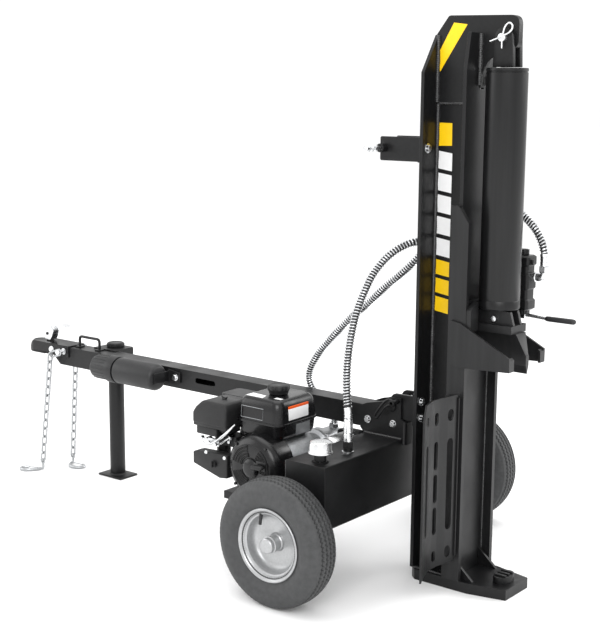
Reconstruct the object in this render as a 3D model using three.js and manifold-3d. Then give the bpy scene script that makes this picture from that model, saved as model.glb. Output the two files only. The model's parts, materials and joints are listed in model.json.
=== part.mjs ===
// Towable log splitter with an upright beam. Millimetres, +Z up, ground at z = 0.
// The hitch points towards -X, the beam stands at +X, the engine is on the -Y side.
import * as THREE from 'three';
import { mergeVertices } from 'three/addons/utils/BufferGeometryUtils.js';
import Module from 'manifold-3d';

const wasm = await Module();
wasm.setup();

// ---- driving dimensions -------------------------------------------------
const GAP = 0.3;

const WHEEL = { radius: 203, width: 114, y: 546, bead: 101, hub: 27, bore: 15.5, sides: 20 };
const TANK = { x0: -36, x1: 119, half: 462, z0: 235, z1: 440, wall: 4, neckX: 63, neckY: -412 };
const TONGUE = { half: 38, z0: 457, z1: 533, wall: 5, front: -1622, rear: 100 };
const LATCH = { x: -1662, z: 569 };
// The travel pin slides into this slot when the beam lies down.
const SLOT = { x0: -812, x1: -712, z: 500, half: 10 };
const COUPLER = { front: -1700, rear: -1506, low: 492, bolts: [-1605, -1532], boltZ: 515, boltRadius: 5 };
const HANDLE = { x0: -1483, x1: -1368, top: 583, radius: 6 };
const STAND = { x: -1360, y: 80, radius: 31, half: 60 };
const CAN = { y: -95, z: 500, radius: 50, x0: -1154, x1: -945, cap: -1281 };
const PIVOT = { x: 75, z: 545, radius: 12 };
const CHEEK = { inner: 38.3, outer: 46.3, bolts: [-20, 82], boltZ: 488, rear: 131, low: 423 };
// The upright lock pin passes the cheeks here: through one hole in the beam's bracket when the beam is up,
// and through a second one when it lies down.
const LOCK = { x: 98, z: 566, radius: 7, hole: 11 };
const BEAM = { x0: 187, x1: 349, half: 88, flange: 12, web: 10, z0: 34.3, joint: 1528, top: 1738 };
const PLATE = { half: 12.5, top: 1792 };
const RAIL = { inner: 88.3, outer: 104.3, x0: 318, x1: 381, top: 1223, shoulder: 1172 };
const STRIPPER = { x1: 540, z0: 727, z1: 872, tip: 777, lip: 22, thick: 8 };
const FOOT = { thick: 34, half: 98, nose: 70, x0: 192, x1: 534 };
const CYL = {
  x: 436, radius: 63, bore: 53, z0: 908, z1: 1634, pinZ: 1722, rodPinZ: 878, rod: 22, pin: 12.5, rodPin: 9.5,
};
const TRAVEL = { x: 30, z: 1386, half: 42, pin: 7, front: 14, z0: 1346, z1: 1422 };
const VALVE = { x0: 424, x1: 488, y0: 80, y1: 140, z0: 892, z1: 1064 };
const ELBOW = { y: 112, z: 998, top: 1034 };
const SPOOL = { x: 462, y: 112, z: 876 };
const WEDGE = { x0: 349.3, x1: 540, top: 838, tip: 714, plateTop: 862, half: 84 };
const CRADLE = { z0: 104, z1: 645, thick: 6 };
const ENGINE = { x: -235, y: -395, z: 356 };
const CAP = { x: -245, y: -240 };
const GRIP = { x: -188, z: 372 };
const DIPSTICK = { x: 126, y: -306, z: 372 };
const THROTTLE = { x: -376, z: 408 };
const CHOKE = { x: -436, z: 404 };
const SWITCH = { x: -402, z: 338 };
const HOSE = { radius: 12, sides: 8 };
const LINK = { pitch: 36, length: 50, width: 28, wire: 8, count: 13, y: 69 };

const PAINT = { color: 0x15161a, roughness: 0.42, metalness: 0.25 };
const PLASTIC = { color: 0x1b1b1d, roughness: 0.6, metalness: 0.0 };
const ZINC = { color: 0xc4c6c9, roughness: 0.32, metalness: 0.95 };
const ALLOY = { color: 0xb4b6b9, roughness: 0.45, metalness: 0.85 };
const CHROME = { color: 0xe2e4e6, roughness: 0.12, metalness: 1.0 };
const RIM = { color: 0xb9bbbd, roughness: 0.5, metalness: 0.6 };
const RUBBER = { color: 0x2c2d2f, roughness: 0.88, metalness: 0.0 };
const HOSE_SKIN = { color: 0x202123, roughness: 0.7, metalness: 0.1 };
const ORANGE = { color: 0xd9541e, roughness: 0.45, metalness: 0.0 };

// ---- solids ---------------------------------------------------------------
function solid(geometry) {
  geometry.deleteAttribute('normal');
  geometry.deleteAttribute('uv');
  const merged = mergeVertices(geometry, 1e-4);
  const index = merged.index.array;
  const faces = [];
  for (let i = 0; i < index.length; i += 3) {
    const [a, b, c] = [index[i], index[i + 1], index[i + 2]];
    if (a !== b && b !== c && a !== c) faces.push(a, b, c);
  }
  const make = (tris) => new wasm.Manifold(new wasm.Mesh({
    numProp: 3,
    vertProperties: new Float32Array(merged.attributes.position.array),
    triVerts: new Uint32Array(tris),
  }));
  const body = make(faces);
  if (body.volume() > 0) return body;
  return make(faces.reverse());
}

function join(...bodies) {
  return bodies.reduce((sum, body) => sum.add(body));
}

function cut(body, ...tools) {
  return tools.reduce((rest, tool) => rest.subtract(tool), body);
}

const BASIS = {
  x: new THREE.Matrix4().makeBasis(new THREE.Vector3(0, 1, 0), new THREE.Vector3(0, 0, 1),
    new THREE.Vector3(1, 0, 0)),
  y: new THREE.Matrix4().makeBasis(new THREE.Vector3(1, 0, 0), new THREE.Vector3(0, 0, 1),
    new THREE.Vector3(0, -1, 0)),
  z: new THREE.Matrix4(),
};

// An outline pushed along an axis. Outlines are (y, z) for x, (x, z) for y and (x, y) for z.
function extrude(shape, axis, from, to, curveSegments = 6) {
  const geometry = new THREE.ExtrudeGeometry(shape, { depth: to - from, bevelEnabled: false, curveSegments });
  geometry.applyMatrix4(BASIS[axis]);
  const start = { x: [from, 0, 0], y: [0, to, 0], z: [0, 0, from] }[axis];
  geometry.translate(...start);
  return solid(geometry);
}

function outline(points) {
  return new THREE.Shape(points.map(([a, b]) => new THREE.Vector2(a, b)));
}

function plate(points, axis, from, to) {
  return extrude(outline(points), axis, from, to);
}

function block(x0, x1, y0, y1, z0, z1) {
  const geometry = new THREE.BoxGeometry(x1 - x0, y1 - y0, z1 - z0);
  geometry.translate((x0 + x1) / 2, (y0 + y1) / 2, (z0 + z1) / 2);
  return solid(geometry);
}

// A box whose corners are rounded in the plane across the given axis.
function roundedBox(a0, a1, b0, b1, radius, axis, from, to, steps = 2) {
  const shape = new THREE.Shape();
  shape.moveTo(a0 + radius, b0);
  shape.lineTo(a1 - radius, b0);
  shape.absarc(a1 - radius, b0 + radius, radius, -Math.PI / 2, 0);
  shape.absarc(a1 - radius, b1 - radius, radius, 0, Math.PI / 2);
  shape.absarc(a0 + radius, b1 - radius, radius, Math.PI / 2, Math.PI);
  shape.absarc(a0 + radius, b0 + radius, radius, Math.PI, Math.PI * 1.5);
  return extrude(shape, axis, from, to, steps);
}

// A turned piece: profile points are (radius, height along the axis).
function turned(profile, axis, at, segments = 20) {
  const points = profile.map(([r, h]) => new THREE.Vector2(r, h));
  const geometry = new THREE.LatheGeometry(points, segments);
  if (axis === 'z') geometry.rotateX(Math.PI / 2);
  if (axis === 'x') geometry.rotateZ(-Math.PI / 2);
  geometry.translate(...at);
  return solid(geometry);
}

function rod(axis, at, radius, from, to, segments = 16) {
  return turned([[0, from], [radius, from], [radius, to], [0, to]], axis, at, segments);
}

// A round hole: its flats just clear a rod of the same radius and number of sides.
function hole(axis, at, radius, from, to, segments = 16) {
  return rod(axis, at, (radius + 0.35) / Math.cos(Math.PI / segments), from, to, segments);
}

function ring(axis, at, inner, outer, from, to, segments = 20) {
  return turned([[inner, from], [outer, from], [outer, to], [inner, to], [inner, from]], axis, at, segments);
}

// A round bar bent along a smooth curve through the given points.
function bar(points, radius, sides = 8, steps = 16) {
  const curve = new THREE.CatmullRomCurve3(points.map((p) => new THREE.Vector3(...p)), false, 'centripetal');
  return along(curve, radius, sides, steps);
}

function along(curve, radius, sides, steps) {
  const section = new THREE.Shape();
  for (let i = 0; i < sides; i += 1) {
    const turn = (i / sides) * Math.PI * 2;
    const point = [radius * Math.cos(turn), radius * Math.sin(turn)];
    if (i === 0) section.moveTo(...point);
    else section.lineTo(...point);
  }
  return solid(new THREE.ExtrudeGeometry(section, { steps, bevelEnabled: false, extrudePath: curve }));
}

// A hexagon head or nut lying across the given axis.
function hexagon(axis, at, radius, from, to) {
  return turned([[0, from], [radius, from], [radius, to], [0, to]], axis, at, 6);
}

function mirrorY(points) {
  return points.map(([a, b]) => [a, -b]).reverse();
}

const machine = new THREE.Group();

function add(name, body, look, parent = machine) {
  const data = body.getMesh();
  const geometry = new THREE.BufferGeometry();
  geometry.setAttribute('position', new THREE.BufferAttribute(new Float32Array(data.vertProperties), 3));
  geometry.setIndex(new THREE.BufferAttribute(new Uint32Array(data.triVerts), 1));
  geometry.computeVertexNormals();
  const mesh = new THREE.Mesh(geometry, new THREE.MeshStandardMaterial(look));
  mesh.name = name;
  parent.add(mesh);
  return mesh;
}

// ---- chassis ---------------------------------------------------------------
function oilTank() {
  const { x0, x1, half, z0, z1, wall, neckX, neckY } = TANK;
  const shell = roundedBox(x0, x1, z0, z1, 7, 'y', -half, half);
  const hollow = roundedBox(x0 + wall, x1 - wall, z0 + wall, z1 - wall, 4, 'y', -half + wall, half - wall);
  const neck = ring('z', [neckX, neckY, 0], 13, 19, z1 - 6, z1 + 26, 18);
  return cut(join(cut(shell, hollow), neck), rod('z', [neckX, neckY, 0], 13, z1 - 20, z1 + 30, 18));
}

function spindle(side) {
  const root = side * (TANK.half + GAP);
  const tip = side * (WHEEL.y + 38);
  const collar = side * (WHEEL.y - 44);
  const [a, b] = [Math.min(root, tip), Math.max(root, tip)];
  const [c, d] = [Math.min(root, collar), Math.max(root, collar)];
  const pad = Math.min(root, root + side * 8);
  return join(
    rod('y', [0, 0, WHEEL.radius], 15, a, b),
    rod('y', [0, 0, WHEEL.radius], 21, c, d),
    block(-34, 60, pad, pad + 8, WHEEL.radius - 30, WHEEL.radius + 88),
  );
}

// Two cheeks over the tank, joined behind it by a bent wall.
function pivotFrame() {
  const { inner, outer, rear, low } = CHEEK;
  const top = TANK.z1 + GAP;
  const side = [[-50, 455], [-50, 532], [-20, 544], [50, 560], [67, 577], [112, 578], [112, 508], [rear, 497],
    [rear, low], [TANK.x1 + GAP, low], [TANK.x1 + GAP, top], [-34, top]];
  const bent = cut(
    roundedBox(-90, rear, -outer, outer, 12, 'z', low - 1, 600, 3),
    roundedBox(-110, rear - 9, -inner, inner, 4, 'z', low - 2, 601),
  );
  const channel = bent.intersect(plate(side, 'y', -outer - 1, outer + 1));
  const saddle = block(-34, 96, -outer + 0.5, outer - 0.5, top, TONGUE.z0 - GAP);
  const holes = [
    hole('y', [PIVOT.x, 0, PIVOT.z], PIVOT.radius, -60, 60),
    hole('y', [LOCK.x, 0, LOCK.z], LOCK.radius, -60, 60, 12),
  ];
  const bolts = CHEEK.bolts.flatMap((x) => [-1, 1].map((s) => {
    const face = s * (outer - 1);
    return hexagon('y', [x, 0, CHEEK.boltZ], 11, Math.min(face, face + s * 9), Math.max(face, face + s * 9));
  }));
  return join(cut(join(channel, saddle), ...holes), ...bolts);
}

// A square tube: its rear end is cut low to leave room for the beam's bracket.
function tongue() {
  const { half, z0, z1, wall, front, rear } = TONGUE;
  const tube = cut(
    block(front, rear, -half, half, z0, z1),
    block(front - 10, rear + 10, -half + wall, half - wall, z0 + wall, z1 - wall),
  );
  const nose = plate([[front - 1, z0 - 1], [front + 62, z0 - 1], [front - 1, z0 + 52]], 'y', -half - 1,
    half + 1);
  const slot = roundedBox(SLOT.x0, SLOT.x1, SLOT.z - SLOT.half, SLOT.z + SLOT.half, SLOT.half - 0.5, 'y',
    -half - 1,
    half + 1);
  const bolts = COUPLER.bolts.map((x) => hole('y', [x, 0, COUPLER.boltZ], COUPLER.boltRadius, -50, 50, 12));
  const room = block(30, rear + 1, -half - 1, half + 1, 502, z1 + 1);
  return cut(tube, nose, slot, room, ...bolts);
}

function coupler() {
  const top = TONGUE.z1 + GAP;
  const inner = TONGUE.half + GAP;
  const outer = inner + 5;
  const { front, rear, low } = COUPLER;
  const sleeve = cut(
    plate([[front, low], [rear, low], [rear, top + 5], [front, top + 5]], 'y', -outer, outer),
    block(front - 1, rear + 1, -inner, inner, low - 6, top),
  );
  const nose = turned([[0, top + 5], [28, top + 4], [39, top - 6], [outer, top - 22], [outer, low], [34, low],
    [34, low + 14], [27, low + 28], [0, low + 36]], 'z', [front - 22, 0, 0], 16);
  const bridge = cut(
    block(front - 22, front + 4, -outer, outer, low, top + 5),
    block(front - 24, front + 5, -30, 30, low - 6, top - 6),
  );
  const lips = [-1, 1].map((side) => {
    const edge = side * (outer + 6);
    return block(front - 22, front + 56, Math.min(side * outer, edge) - 0.5,
      Math.max(side * outer, edge) + 0.5, low, low + 5);
  });
  const post = join(
    block(LATCH.x - 9, LATCH.x + 9, -12.5, 12.5, top, LATCH.z + 9),
    rod('y', [LATCH.x, 0, LATCH.z], 6, -20, 20, 12),
  );
  const well = turned([[0, low - 8], [27, low - 8], [27, low + 20], [18, low + 32], [0, low + 34]], 'z',
    [front - 22, 0, 0], 16);
  const bolts = COUPLER.bolts.map((x) => hole('y', [x, 0, COUPLER.boltZ], COUPLER.boltRadius, -60, 60, 12));
  return cut(join(sleeve, bridge, nose, post, ...lips), well, ...bolts);
}

function crossBolt(x, reach) {
  const face = TONGUE.half + 5 + 2 * GAP;
  const at = [x, 0, COUPLER.boltZ];
  const washers = [-1, 1].map((side) => rod('y', at, 12, Math.min(side * face, side * (face + 3)),
    Math.max(side * face, side * (face + 3)), 12));
  return join(
    rod('y', at, COUPLER.boltRadius, -reach, reach, 12),
    hexagon('y', at, 11, -reach - 7, -reach),
    hexagon('y', at, 11, reach, reach + 7),
    ...washers,
  );
}

function couplerLatch() {
  const [x, z] = [LATCH.x, LATCH.z];
  const y = 17;
  const side = [[x - 24, z - 4], [x - 24, z + 34], [x + 16, z + 38], [x + 36, z + 14], [x + 28, z - 8],
    [x + 16, z - 26],
    [x - 14, z - 23]];
  const cheeks = [plate(side, 'y', -y, -y + 4), plate(side, 'y', y - 4, y)];
  const roof = plate([[x - 24, z + 30], [x - 24, z + 36], [x + 94, z + 46], [x + 112, z + 37],
    [x + 112, z + 32],
    [x + 94, z + 40]], 'y', -y, y);
  const bores = hole('y', [x, 0, z], 6, -30, 30, 12);
  return cut(join(...cheeks, roof), bores);
}

function tongueHandle() {
  const { x0, x1, top, radius } = HANDLE;
  const foot = TONGUE.z1 + GAP;
  const arch = bar([[x0, 0, foot], [x0, 0, top - 22], [x0 + 8, 0, top - 9], [(x0 + x1) / 2, 0, top - radius],
    [x1 - 8, 0, top - 9], [x1, 0, top - 22], [x1, 0, foot]], radius, 8, 12);
  const pads = [x0, x1].map((x) => block(x - 12, x + 12, -16, 16, foot, foot + 5));
  return join(arch, ...pads);
}

// A box open towards the front, welded to the far side of the tongue, that the leg slides in.
function standBracket() {
  const { x, y, radius, half } = STAND;
  const side = TONGUE.half + GAP;
  const top = TONGUE.z1 + GAP;
  const wall = block(x - half, x + half, side, side + 7, 446, top + 5);
  const shelves = [446, top].map((z) => roundedBox(x - half, x + half, side, y + 42, 8, 'z', z, z + 5));
  const roof = block(x - half, x + half, 18, side + 7, top, top + 5);
  const skirt = block(x + half - 6, x + half, side, y + 40, 448, top + 3);
  const bore = rod('z', [x, y, 0], radius + 0.8, 400, 600, 28);
  return cut(join(wall, ...shelves, roof, skirt), bore);
}

function standLeg() {
  const { x, y, radius } = STAND;
  const top = TONGUE.z1 + 5 + 2 * GAP;
  return join(
    rod('z', [x, y, 0], radius, 6, top + 2, 28),
    turned([[0, top], [radius + 4, top], [radius + 4, top + 13], [radius, top + 17], [0, top + 18]], 'z',
    [x, y, 0], 28),
    block(x - 65, x + 65, y - 48, y + 48, 0, 8),
  );
}

// ---- document canister -------------------------------------------------------
function canisterBody() {
  const { y, z, radius, x0, x1 } = CAN;
  return turned([[0, x1], [46, x1], [radius, x1 - 12], [radius, x0 + 8], [radius - 6, x0],
    [radius - 6, x0 - 40],
    [radius - 10, x0 - 40], [radius - 10, x1 - 10], [0, x1 - 10]], 'x', [0, y, z]);
}

function canisterCap() {
  const { y, z, radius, x0, cap } = CAN;
  return turned([[0, cap], [radius - 12, cap], [radius - 4, cap + 14], [radius - 4, x0 - 44],
    [radius + 2, x0 - 42],
    [radius + 2, x0 - GAP], [radius - 5.7, x0 - GAP], [radius - 5.7, x0 - 41], [radius - 10, x0 - 41],
    [radius - 10, cap + 20], [0, cap + 6]], 'x', [0, y, z]);
}

function canisterBracket() {
  const { y, z, x1 } = CAN;
  const face = -TONGUE.half - GAP;
  const tab = plate([[x1 + GAP, z - 20], [x1 + 62, z - 20], [x1 + 62, z + 18], [x1 + GAP, z + 26]], 'y',
    face - 7, face);
  const foot = block(x1 + GAP, x1 + 6, y - 30, face, z - 20, z + 20);
  const bolt = hexagon('y', [x1 + 40, 0, z], 10, face - 15, face - 6);
  return join(tab, foot, bolt);
}

// ---- chains --------------------------------------------------------------------
// A shackle on the rear coupler bolt, a straight run of links below it and a hook that lies on the ground.
function chain(side) {
  const foot = side < 0 ? [-1652, 30] : [-1622, 30];
  const y = side * LINK.y;
  const pin = new THREE.Vector3(COUPLER.bolts[1], y, COUPLER.boltZ);
  const drop = new THREE.Vector3(COUPLER.bolts[1] - 54, y, COUPLER.boltZ - 18);
  const end = new THREE.Vector3(foot[0], y, foot[1]);
  const lean = new THREE.Vector3().subVectors(drop, pin).normalize();
  const shackle = chainLink(new THREE.Vector3().copy(pin).addScaledVector(lean, 23), lean, false,
    LINK.length + 22);
  const run = new THREE.Vector3().subVectors(end, drop).normalize();
  const links = [];
  for (let i = 0; i < LINK.count; i += 1) {
    links.push(chainLink(new THREE.Vector3().copy(drop).addScaledVector(run, 12 + i * LINK.pitch), run,
      i % 2 === 0));
  }
  const last = new THREE.Vector3().copy(drop).addScaledVector(run, 12 + (LINK.count - 0.4) * LINK.pitch);
  const toe = side < 0
    ? [[-6, -14], [-34, -58], [-62, -64], [-74, -44], [-60, -24]]
    : [[4, -14], [34, -44], [72, -40], [84, -14], [62, 0]];
  const hook = toe.map(([x, dy]) => [end.x + x, end.y + dy, 7]);
  const path = [[last.x, last.y, last.z], [end.x, end.y, 8], ...hook];
  return join(shackle, ...links, bar(path, 6.5, 6, 11));
}

function chainLink(at, run, flat, length = LINK.length) {
  const [l, w, r] = [length / 2, LINK.width / 2, LINK.wire];
  const shape = outline([[-l, 0], [-l + r, -w], [l - r, -w], [l, 0], [l - r, w], [-l + r, w]]);
  shape.holes.push(outline([[r - l, r - w], [l - r, r - w], [l - r, w - r], [r - l, w - r]]));
  const geometry = new THREE.ExtrudeGeometry(shape, { depth: r, bevelEnabled: false });
  geometry.translate(0, 0, -r / 2);
  if (!flat) geometry.rotateX(Math.PI / 2);
  const aim = new THREE.Quaternion().setFromUnitVectors(new THREE.Vector3(1, 0, 0), run.clone().normalize());
  geometry.applyQuaternion(aim);
  geometry.translate(at.x, at.y, at.z);
  return solid(geometry);
}

// ---- wheels --------------------------------------------------------------------
function tyre() {
  const { radius, width, bead, sides } = WHEEL;
  const h = width / 2;
  const half = [[bead + 3.5, h - 24], [bead + 3.5, h - 15.5], [bead + 17, h - 14.5], [bead + 35, h - 1],
    [radius - 24, h - 3],
    [radius, h - 30]];
  const mirrored = half.map(([r, y]) => [r, -y]).reverse();
  const inside = [[bead + 39, 11 - h], [radius - 14, 23 - h], [radius - 14, h - 23], [bead + 39, h - 11]];
  return turned([...half, ...mirrored, ...inside, half[0]], 'y', [0, 0, 0], sides);
}

function rimAndHub() {
  const { width, bead, hub, bore, sides } = WHEEL;
  const h = width / 2;
  const lip = bead + 15;
  const web = [[bead - 3, 0], [56, 10], [hub, 8], [hub, 44], [bore + 0.6, 44], [bore + 0.6, -46],
    [hub, -46], [hub, 2],
    [56, 4], [bead - 3, -6]];
  const barrel = [[bead + 1.4, 15 - h], [bead + 1.4, h - 15], [lip, h - 13.5], [lip, h - 10],
    [bead - 3, h - 13], ...web,
    [bead - 3, 13 - h], [lip, 10 - h], [lip, 13.5 - h], [bead + 1.4, 15 - h]];
  const cap = [[0, -56], [20, -54], [hub, -50], [hub, -45.5], [0, -45.5]];
  return join(turned(barrel, 'y', [0, 0, 0], sides), turned(cap, 'y', [0, 0, 0], sides));
}

function wheel(side, label) {
  const group = new THREE.Group();
  group.position.set(0, side * WHEEL.y, WHEEL.radius);
  if (side > 0) group.rotation.z = Math.PI;
  const stem = bar([[-38.5, -27, 91], [-34, -35, 77], [-29, -44, 61]], 4, 6, 2);
  add(`tyre_${label}`, tyre(), RUBBER, group);
  add(`rim_${label}`, join(rimAndHub(), stem), RIM, group);
  machine.add(group);
}

// ---- engine ---------------------------------------------------------------------
function engineMount() {
  const floor = block(-372, TANK.x0 - GAP, -372, -120, 240, 248);
  const flanges = [-372, -126].map((y) => block(-372, TANK.x0 - GAP, y, y + 6, 222, 241));
  const tie = plate([[-120, 248], [TANK.x0 - GAP, 248], [TANK.x0 - GAP, 330]], 'y', -126, -120);
  return join(floor, ...flanges, tie);
}

function engineBlock() {
  const { x, z } = ENGINE;
  const sump = roundedBox(x - 92, x + 96, 248.3, 300, 10, 'y', -290, -150, 2);
  const crankcase = rod('y', [x, 0, z], 84, -298, -142, 20);
  const lean = -Math.PI / 2 + 0.32;
  const leaning = (wide, deep, from, to) => {
    const geometry = new THREE.BoxGeometry(wide, deep, to - from);
    geometry.translate(0, -215, (from + to) / 2);
    geometry.rotateY(lean);
    geometry.translate(x, 0, z);
    return solid(geometry);
  };
  const barrel = leaning(66, 100, 60, 172);
  const fins = [96, 116, 136, 156].map((at) => leaning(80, 110, at, at + 6));
  const oilTube = bar([[x + 84, -272, 300], [x + 112, -286, 324], [x + DIPSTICK.x, DIPSTICK.y, 348],
    [x + DIPSTICK.x, DIPSTICK.y, DIPSTICK.z]], 11, 8, 5);
  const feet = [-150, -290].map((y) => block(x - 100, x + 104, y - 8, y + 8, 248.3, 262));
  return join(sump, crankcase, barrel, ...fins, oilTube, ...feet);
}

function blowerHousing() {
  const { x, y, z } = ENGINE;
  const bowl = turned([[0, -100], [62, -100], [88, -94], [104, -76], [107, 0], [0, 0]], 'y', [x, y + 96, z],
    24);
  const shoulder = plate([[x - 60, z + 20], [x + 60, z + 20], [x + 78, z + 70], [x + 40, z + 90],
    [x - 70, z + 90],
    [x - 104, z + 60]], 'y', y + 40, y + 96);
  const slots = [];
  for (let i = 0; i < 10; i += 1) {
    const turn = (i / 10) * Math.PI * 2;
    const slit = new THREE.BoxGeometry(26, 14, 5);
    slit.rotateY(-turn);
    slit.translate(x + 52 * Math.cos(turn), y - 6, z + 52 * Math.sin(turn));
    slots.push(solid(slit));
  }
  const hub = turned([[0, -12], [20, -12], [30, -8], [30, 4], [0, 4]], 'y', [x, y, z], 20);
  const port = block(GRIP.x - 16, GRIP.x + 16, y - 10, y + 10, GRIP.z - 12, GRIP.z + 12);
  const seat = block(x - 130, x + 130, y, y + 110, 440, 480);
  return cut(join(cut(join(bowl, shoulder), ...slots), hub), port, seat);
}

function dipstick() {
  const [x, y, z] = [ENGINE.x + DIPSTICK.x, DIPSTICK.y, DIPSTICK.z + GAP];
  return join(rod('z', [x, y, 0], 12, z, z + 8, 12), block(x - 11, x + 11, y - 3, y + 3, z + 7, z + 20));
}

// A small arm that turns about a Y axis beside the carburettor.
function smallLever(at, dx, dz) {
  const hub = rod('y', [at.x, 0, at.z], 6, -344, -331, 10);
  return join(hub, bar([[at.x, -341, at.z], [at.x + dx, -341, at.z + dz]], 3, 6, 1),
    rod('y', [at.x + dx, 0, at.z + dz], 5, -358, -338, 8));
}

function engineSwitch() {
  const knob = rod('y', [SWITCH.x, 0, SWITCH.z], 12, -394, -386.3, 14);
  return join(knob, block(SWITCH.x - 3, SWITCH.x + 3, -402, -393, SWITCH.z - 10, SWITCH.z + 10));
}

function fillerCap() {
  const { neckX, neckY, z1 } = TANK;
  return turned([[0, z1 + 8], [12, z1 + 8], [12, z1 + 26 + GAP], [39, z1 + 26 + GAP], [39, z1 + 34],
    [31, z1 + 40],
    [31, z1 + 60], [26, z1 + 66], [0, z1 + 66]], 'z', [neckX, neckY, 0], 20);
}

function recoilGrip() {
  const { x, z } = GRIP;
  const y = ENGINE.y;
  const handle = roundedBox(x - 24, x + 24, z - 8, z + 8, 7, 'y', y - 30, y - 12);
  return join(handle, rod('y', [x, 0, z], 8, y - 14, y + 6, 12));
}

function fuelTank() {
  const [x0, x1, y0, y1] = [-345, -160, -342, -132];
  const lower = frustum(x0 + 6, x1 - 6, y0 + 6, y1 - 6, 442, x0 + 2, x1 - 2, y0 + 2, y1 - 2, 494);
  const seam = roundedBox(x0 - 4, x1 + 4, y0 - 4, y1 + 4, 16, 'z', 493, 499);
  const upper = frustum(x0, x1, y0, y1, 498, x0 + 8, x1 - 8, y0 + 8, y1 - 8, 560);
  const crown = frustum(x0 + 8, x1 - 8, y0 + 8, y1 - 8, 559.8, x0 + 28, x1 - 28, y0 + 28, y1 - 28, 574);
  const neck = rod('z', [CAP.x, CAP.y, 0], 24, 566, 577, 20);
  return join(lower, seam, upper, crown, neck);
}

// A tapered box between a lower and an upper rectangle.
function frustum(a0, a1, b0, b1, z0, c0, c1, d0, d1, z1) {
  const geometry = new THREE.BoxGeometry(1, 1, 1);
  const place = geometry.attributes.position;
  for (let i = 0; i < place.count; i += 1) {
    const up = place.getZ(i) > 0;
    const x = place.getX(i) > 0 ? (up ? c1 : a1) : (up ? c0 : a0);
    const y = place.getY(i) > 0 ? (up ? d1 : b1) : (up ? d0 : b0);
    place.setXYZ(i, x, y, up ? z1 : z0);
  }
  return solid(geometry);
}

function knurledCap(at, radius, z0, z1, bumps) {
  const body = turned([[0, z0], [radius, z0], [radius, z1 - 6], [radius - 7, z1], [0, z1]], 'z',
    [at.x, at.y, 0], 16);
  const grips = [];
  for (let i = 0; i < bumps; i += 1) {
    const turn = (i / bumps) * Math.PI * 2;
    grips.push(rod('z', [at.x + radius * Math.cos(turn), at.y + radius * Math.sin(turn), 0], 6, z0 + 2,
      z1 - 8, 6));
  }
  return join(body, ...grips);
}

function airCleaner() {
  const cover = plate([[-505, 462], [-352, 462], [-352, 545], [-462, 545], [-505, 500]], 'y', -382, -258);
  const rest = roundedBox(-496, -404, -372, -268, 10, 'z', 424, 462.5);
  const duct = roundedBox(-404.5, -352, -360, -300, 8, 'z', 440, 468);
  return join(cover, rest, duct);
}

function carburettor() {
  const body = roundedBox(-452, -352, -330, -271, 8, 'z', 388.3, 423.7, 2);
  const bowl = rod('z', [-430, -305, 0], 24, 352, 389, 14);
  const inlet = rod('x', [0, -290, 404], 14, -353, -341, 12);
  return join(body, bowl, inlet);
}

function controlBox() {
  const face = [[-498, 350], [-498, 388], [-462, 388], [-372, 378], [-372, 292], [-408, 292]];
  return join(plate(face, 'y', -386, -344), block(-372.5, -341, -372, -352, 330, 352));
}

function muffler() {
  const box = roundedBox(-498, -356, -246, -150, 16, 'z', 462, 540, 2);
  const pipe = rod('z', [-385, -200, 0], 13, 446, 463, 12);
  const outlet = bar([[-490, -200, 500], [-508, -200, 500], [-520, -200, 492]], 9, 8, 3);
  return join(box, pipe, outlet);
}

function pump() {
  const { x, z } = ENGINE;
  const bell = turned([[0, -141.7], [64, -141.7], [64, -130], [48, -122], [48, -62], [60, -54], [60, -44],
    [0, -44]],
    'y', [x, 0, z], 16);
  const body = roundedBox(x - 52, x + 52, z - 50, z + 50, 16, 'y', -44.5, 22, 2);
  const rear = roundedBox(x - 44, x + 44, z - 44, z + 44, 20, 'y', 21.5, 84, 2);
  const outlet = rod('z', [x, 54, 0], 17, z + 40, z + 62, 12);
  const inlet = rod('x', [0, 50, z], 20, x + 40, x + 66, 12);
  return join(bell, body, rear, outlet, inlet);
}

function oilFilter() {
  const can = turned([[0, -174], [40, -174], [46, -168], [46, -66], [43, -60], [0, -60]], 'y',
    [-88, 0, 392], 24);
  const head = roundedBox(-136, -44, 346, 438, 12, 'y', -59.7, -20);
  const nipple = rod('x', [0, -40, 392], 16, -46, TANK.x0 - GAP, 16);
  return { can, head: join(head, nipple) };
}

function returnFitting() {
  const [x, y] = [65, -272];
  return join(
    rod('z', [x, y, 0], 17, TANK.z1 + GAP, TANK.z1 + 26, 16),
    hexagon('z', [x, y, 0], 19, TANK.z1 + 18, TANK.z1 + 36),
    rod('z', [x, y, 0], 15, TANK.z1 + 34, TANK.z1 + 104, 16),
  );
}

// ---- beam -----------------------------------------------------------------------
function beam() {
  const { x0, x1, half, flange, web, z0, joint, top } = BEAM;
  const back = [[-half, z0], [half, z0], [half, 1621], [PLATE.half, 1735], [-PLATE.half, 1735],
    [-half, 1621]];
  const front = [[-half, z0], [half, z0], [half, 1627], [half - 19, top], [PLATE.half + GAP, top],
    [PLATE.half + GAP, 1572], [-PLATE.half - GAP, 1572], [-PLATE.half - GAP, top], [-half + 19, top],
    [-half, 1627]];
  const bolts = [530, 584, 1390].flatMap((z) => [-60, 60].map((y) => (
    hexagon('x', [0, y, z], 12, x0 + flange - 1, x0 + flange + 9))));
  return join(
    plate(back, 'x', x0, x0 + flange),
    plate(front, 'x', x1 - flange, x1),
    block(x0 + flange - 1, x1 - flange + 1, -web / 2, web / 2, z0, joint),
    ...bolts,
  );
}

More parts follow.
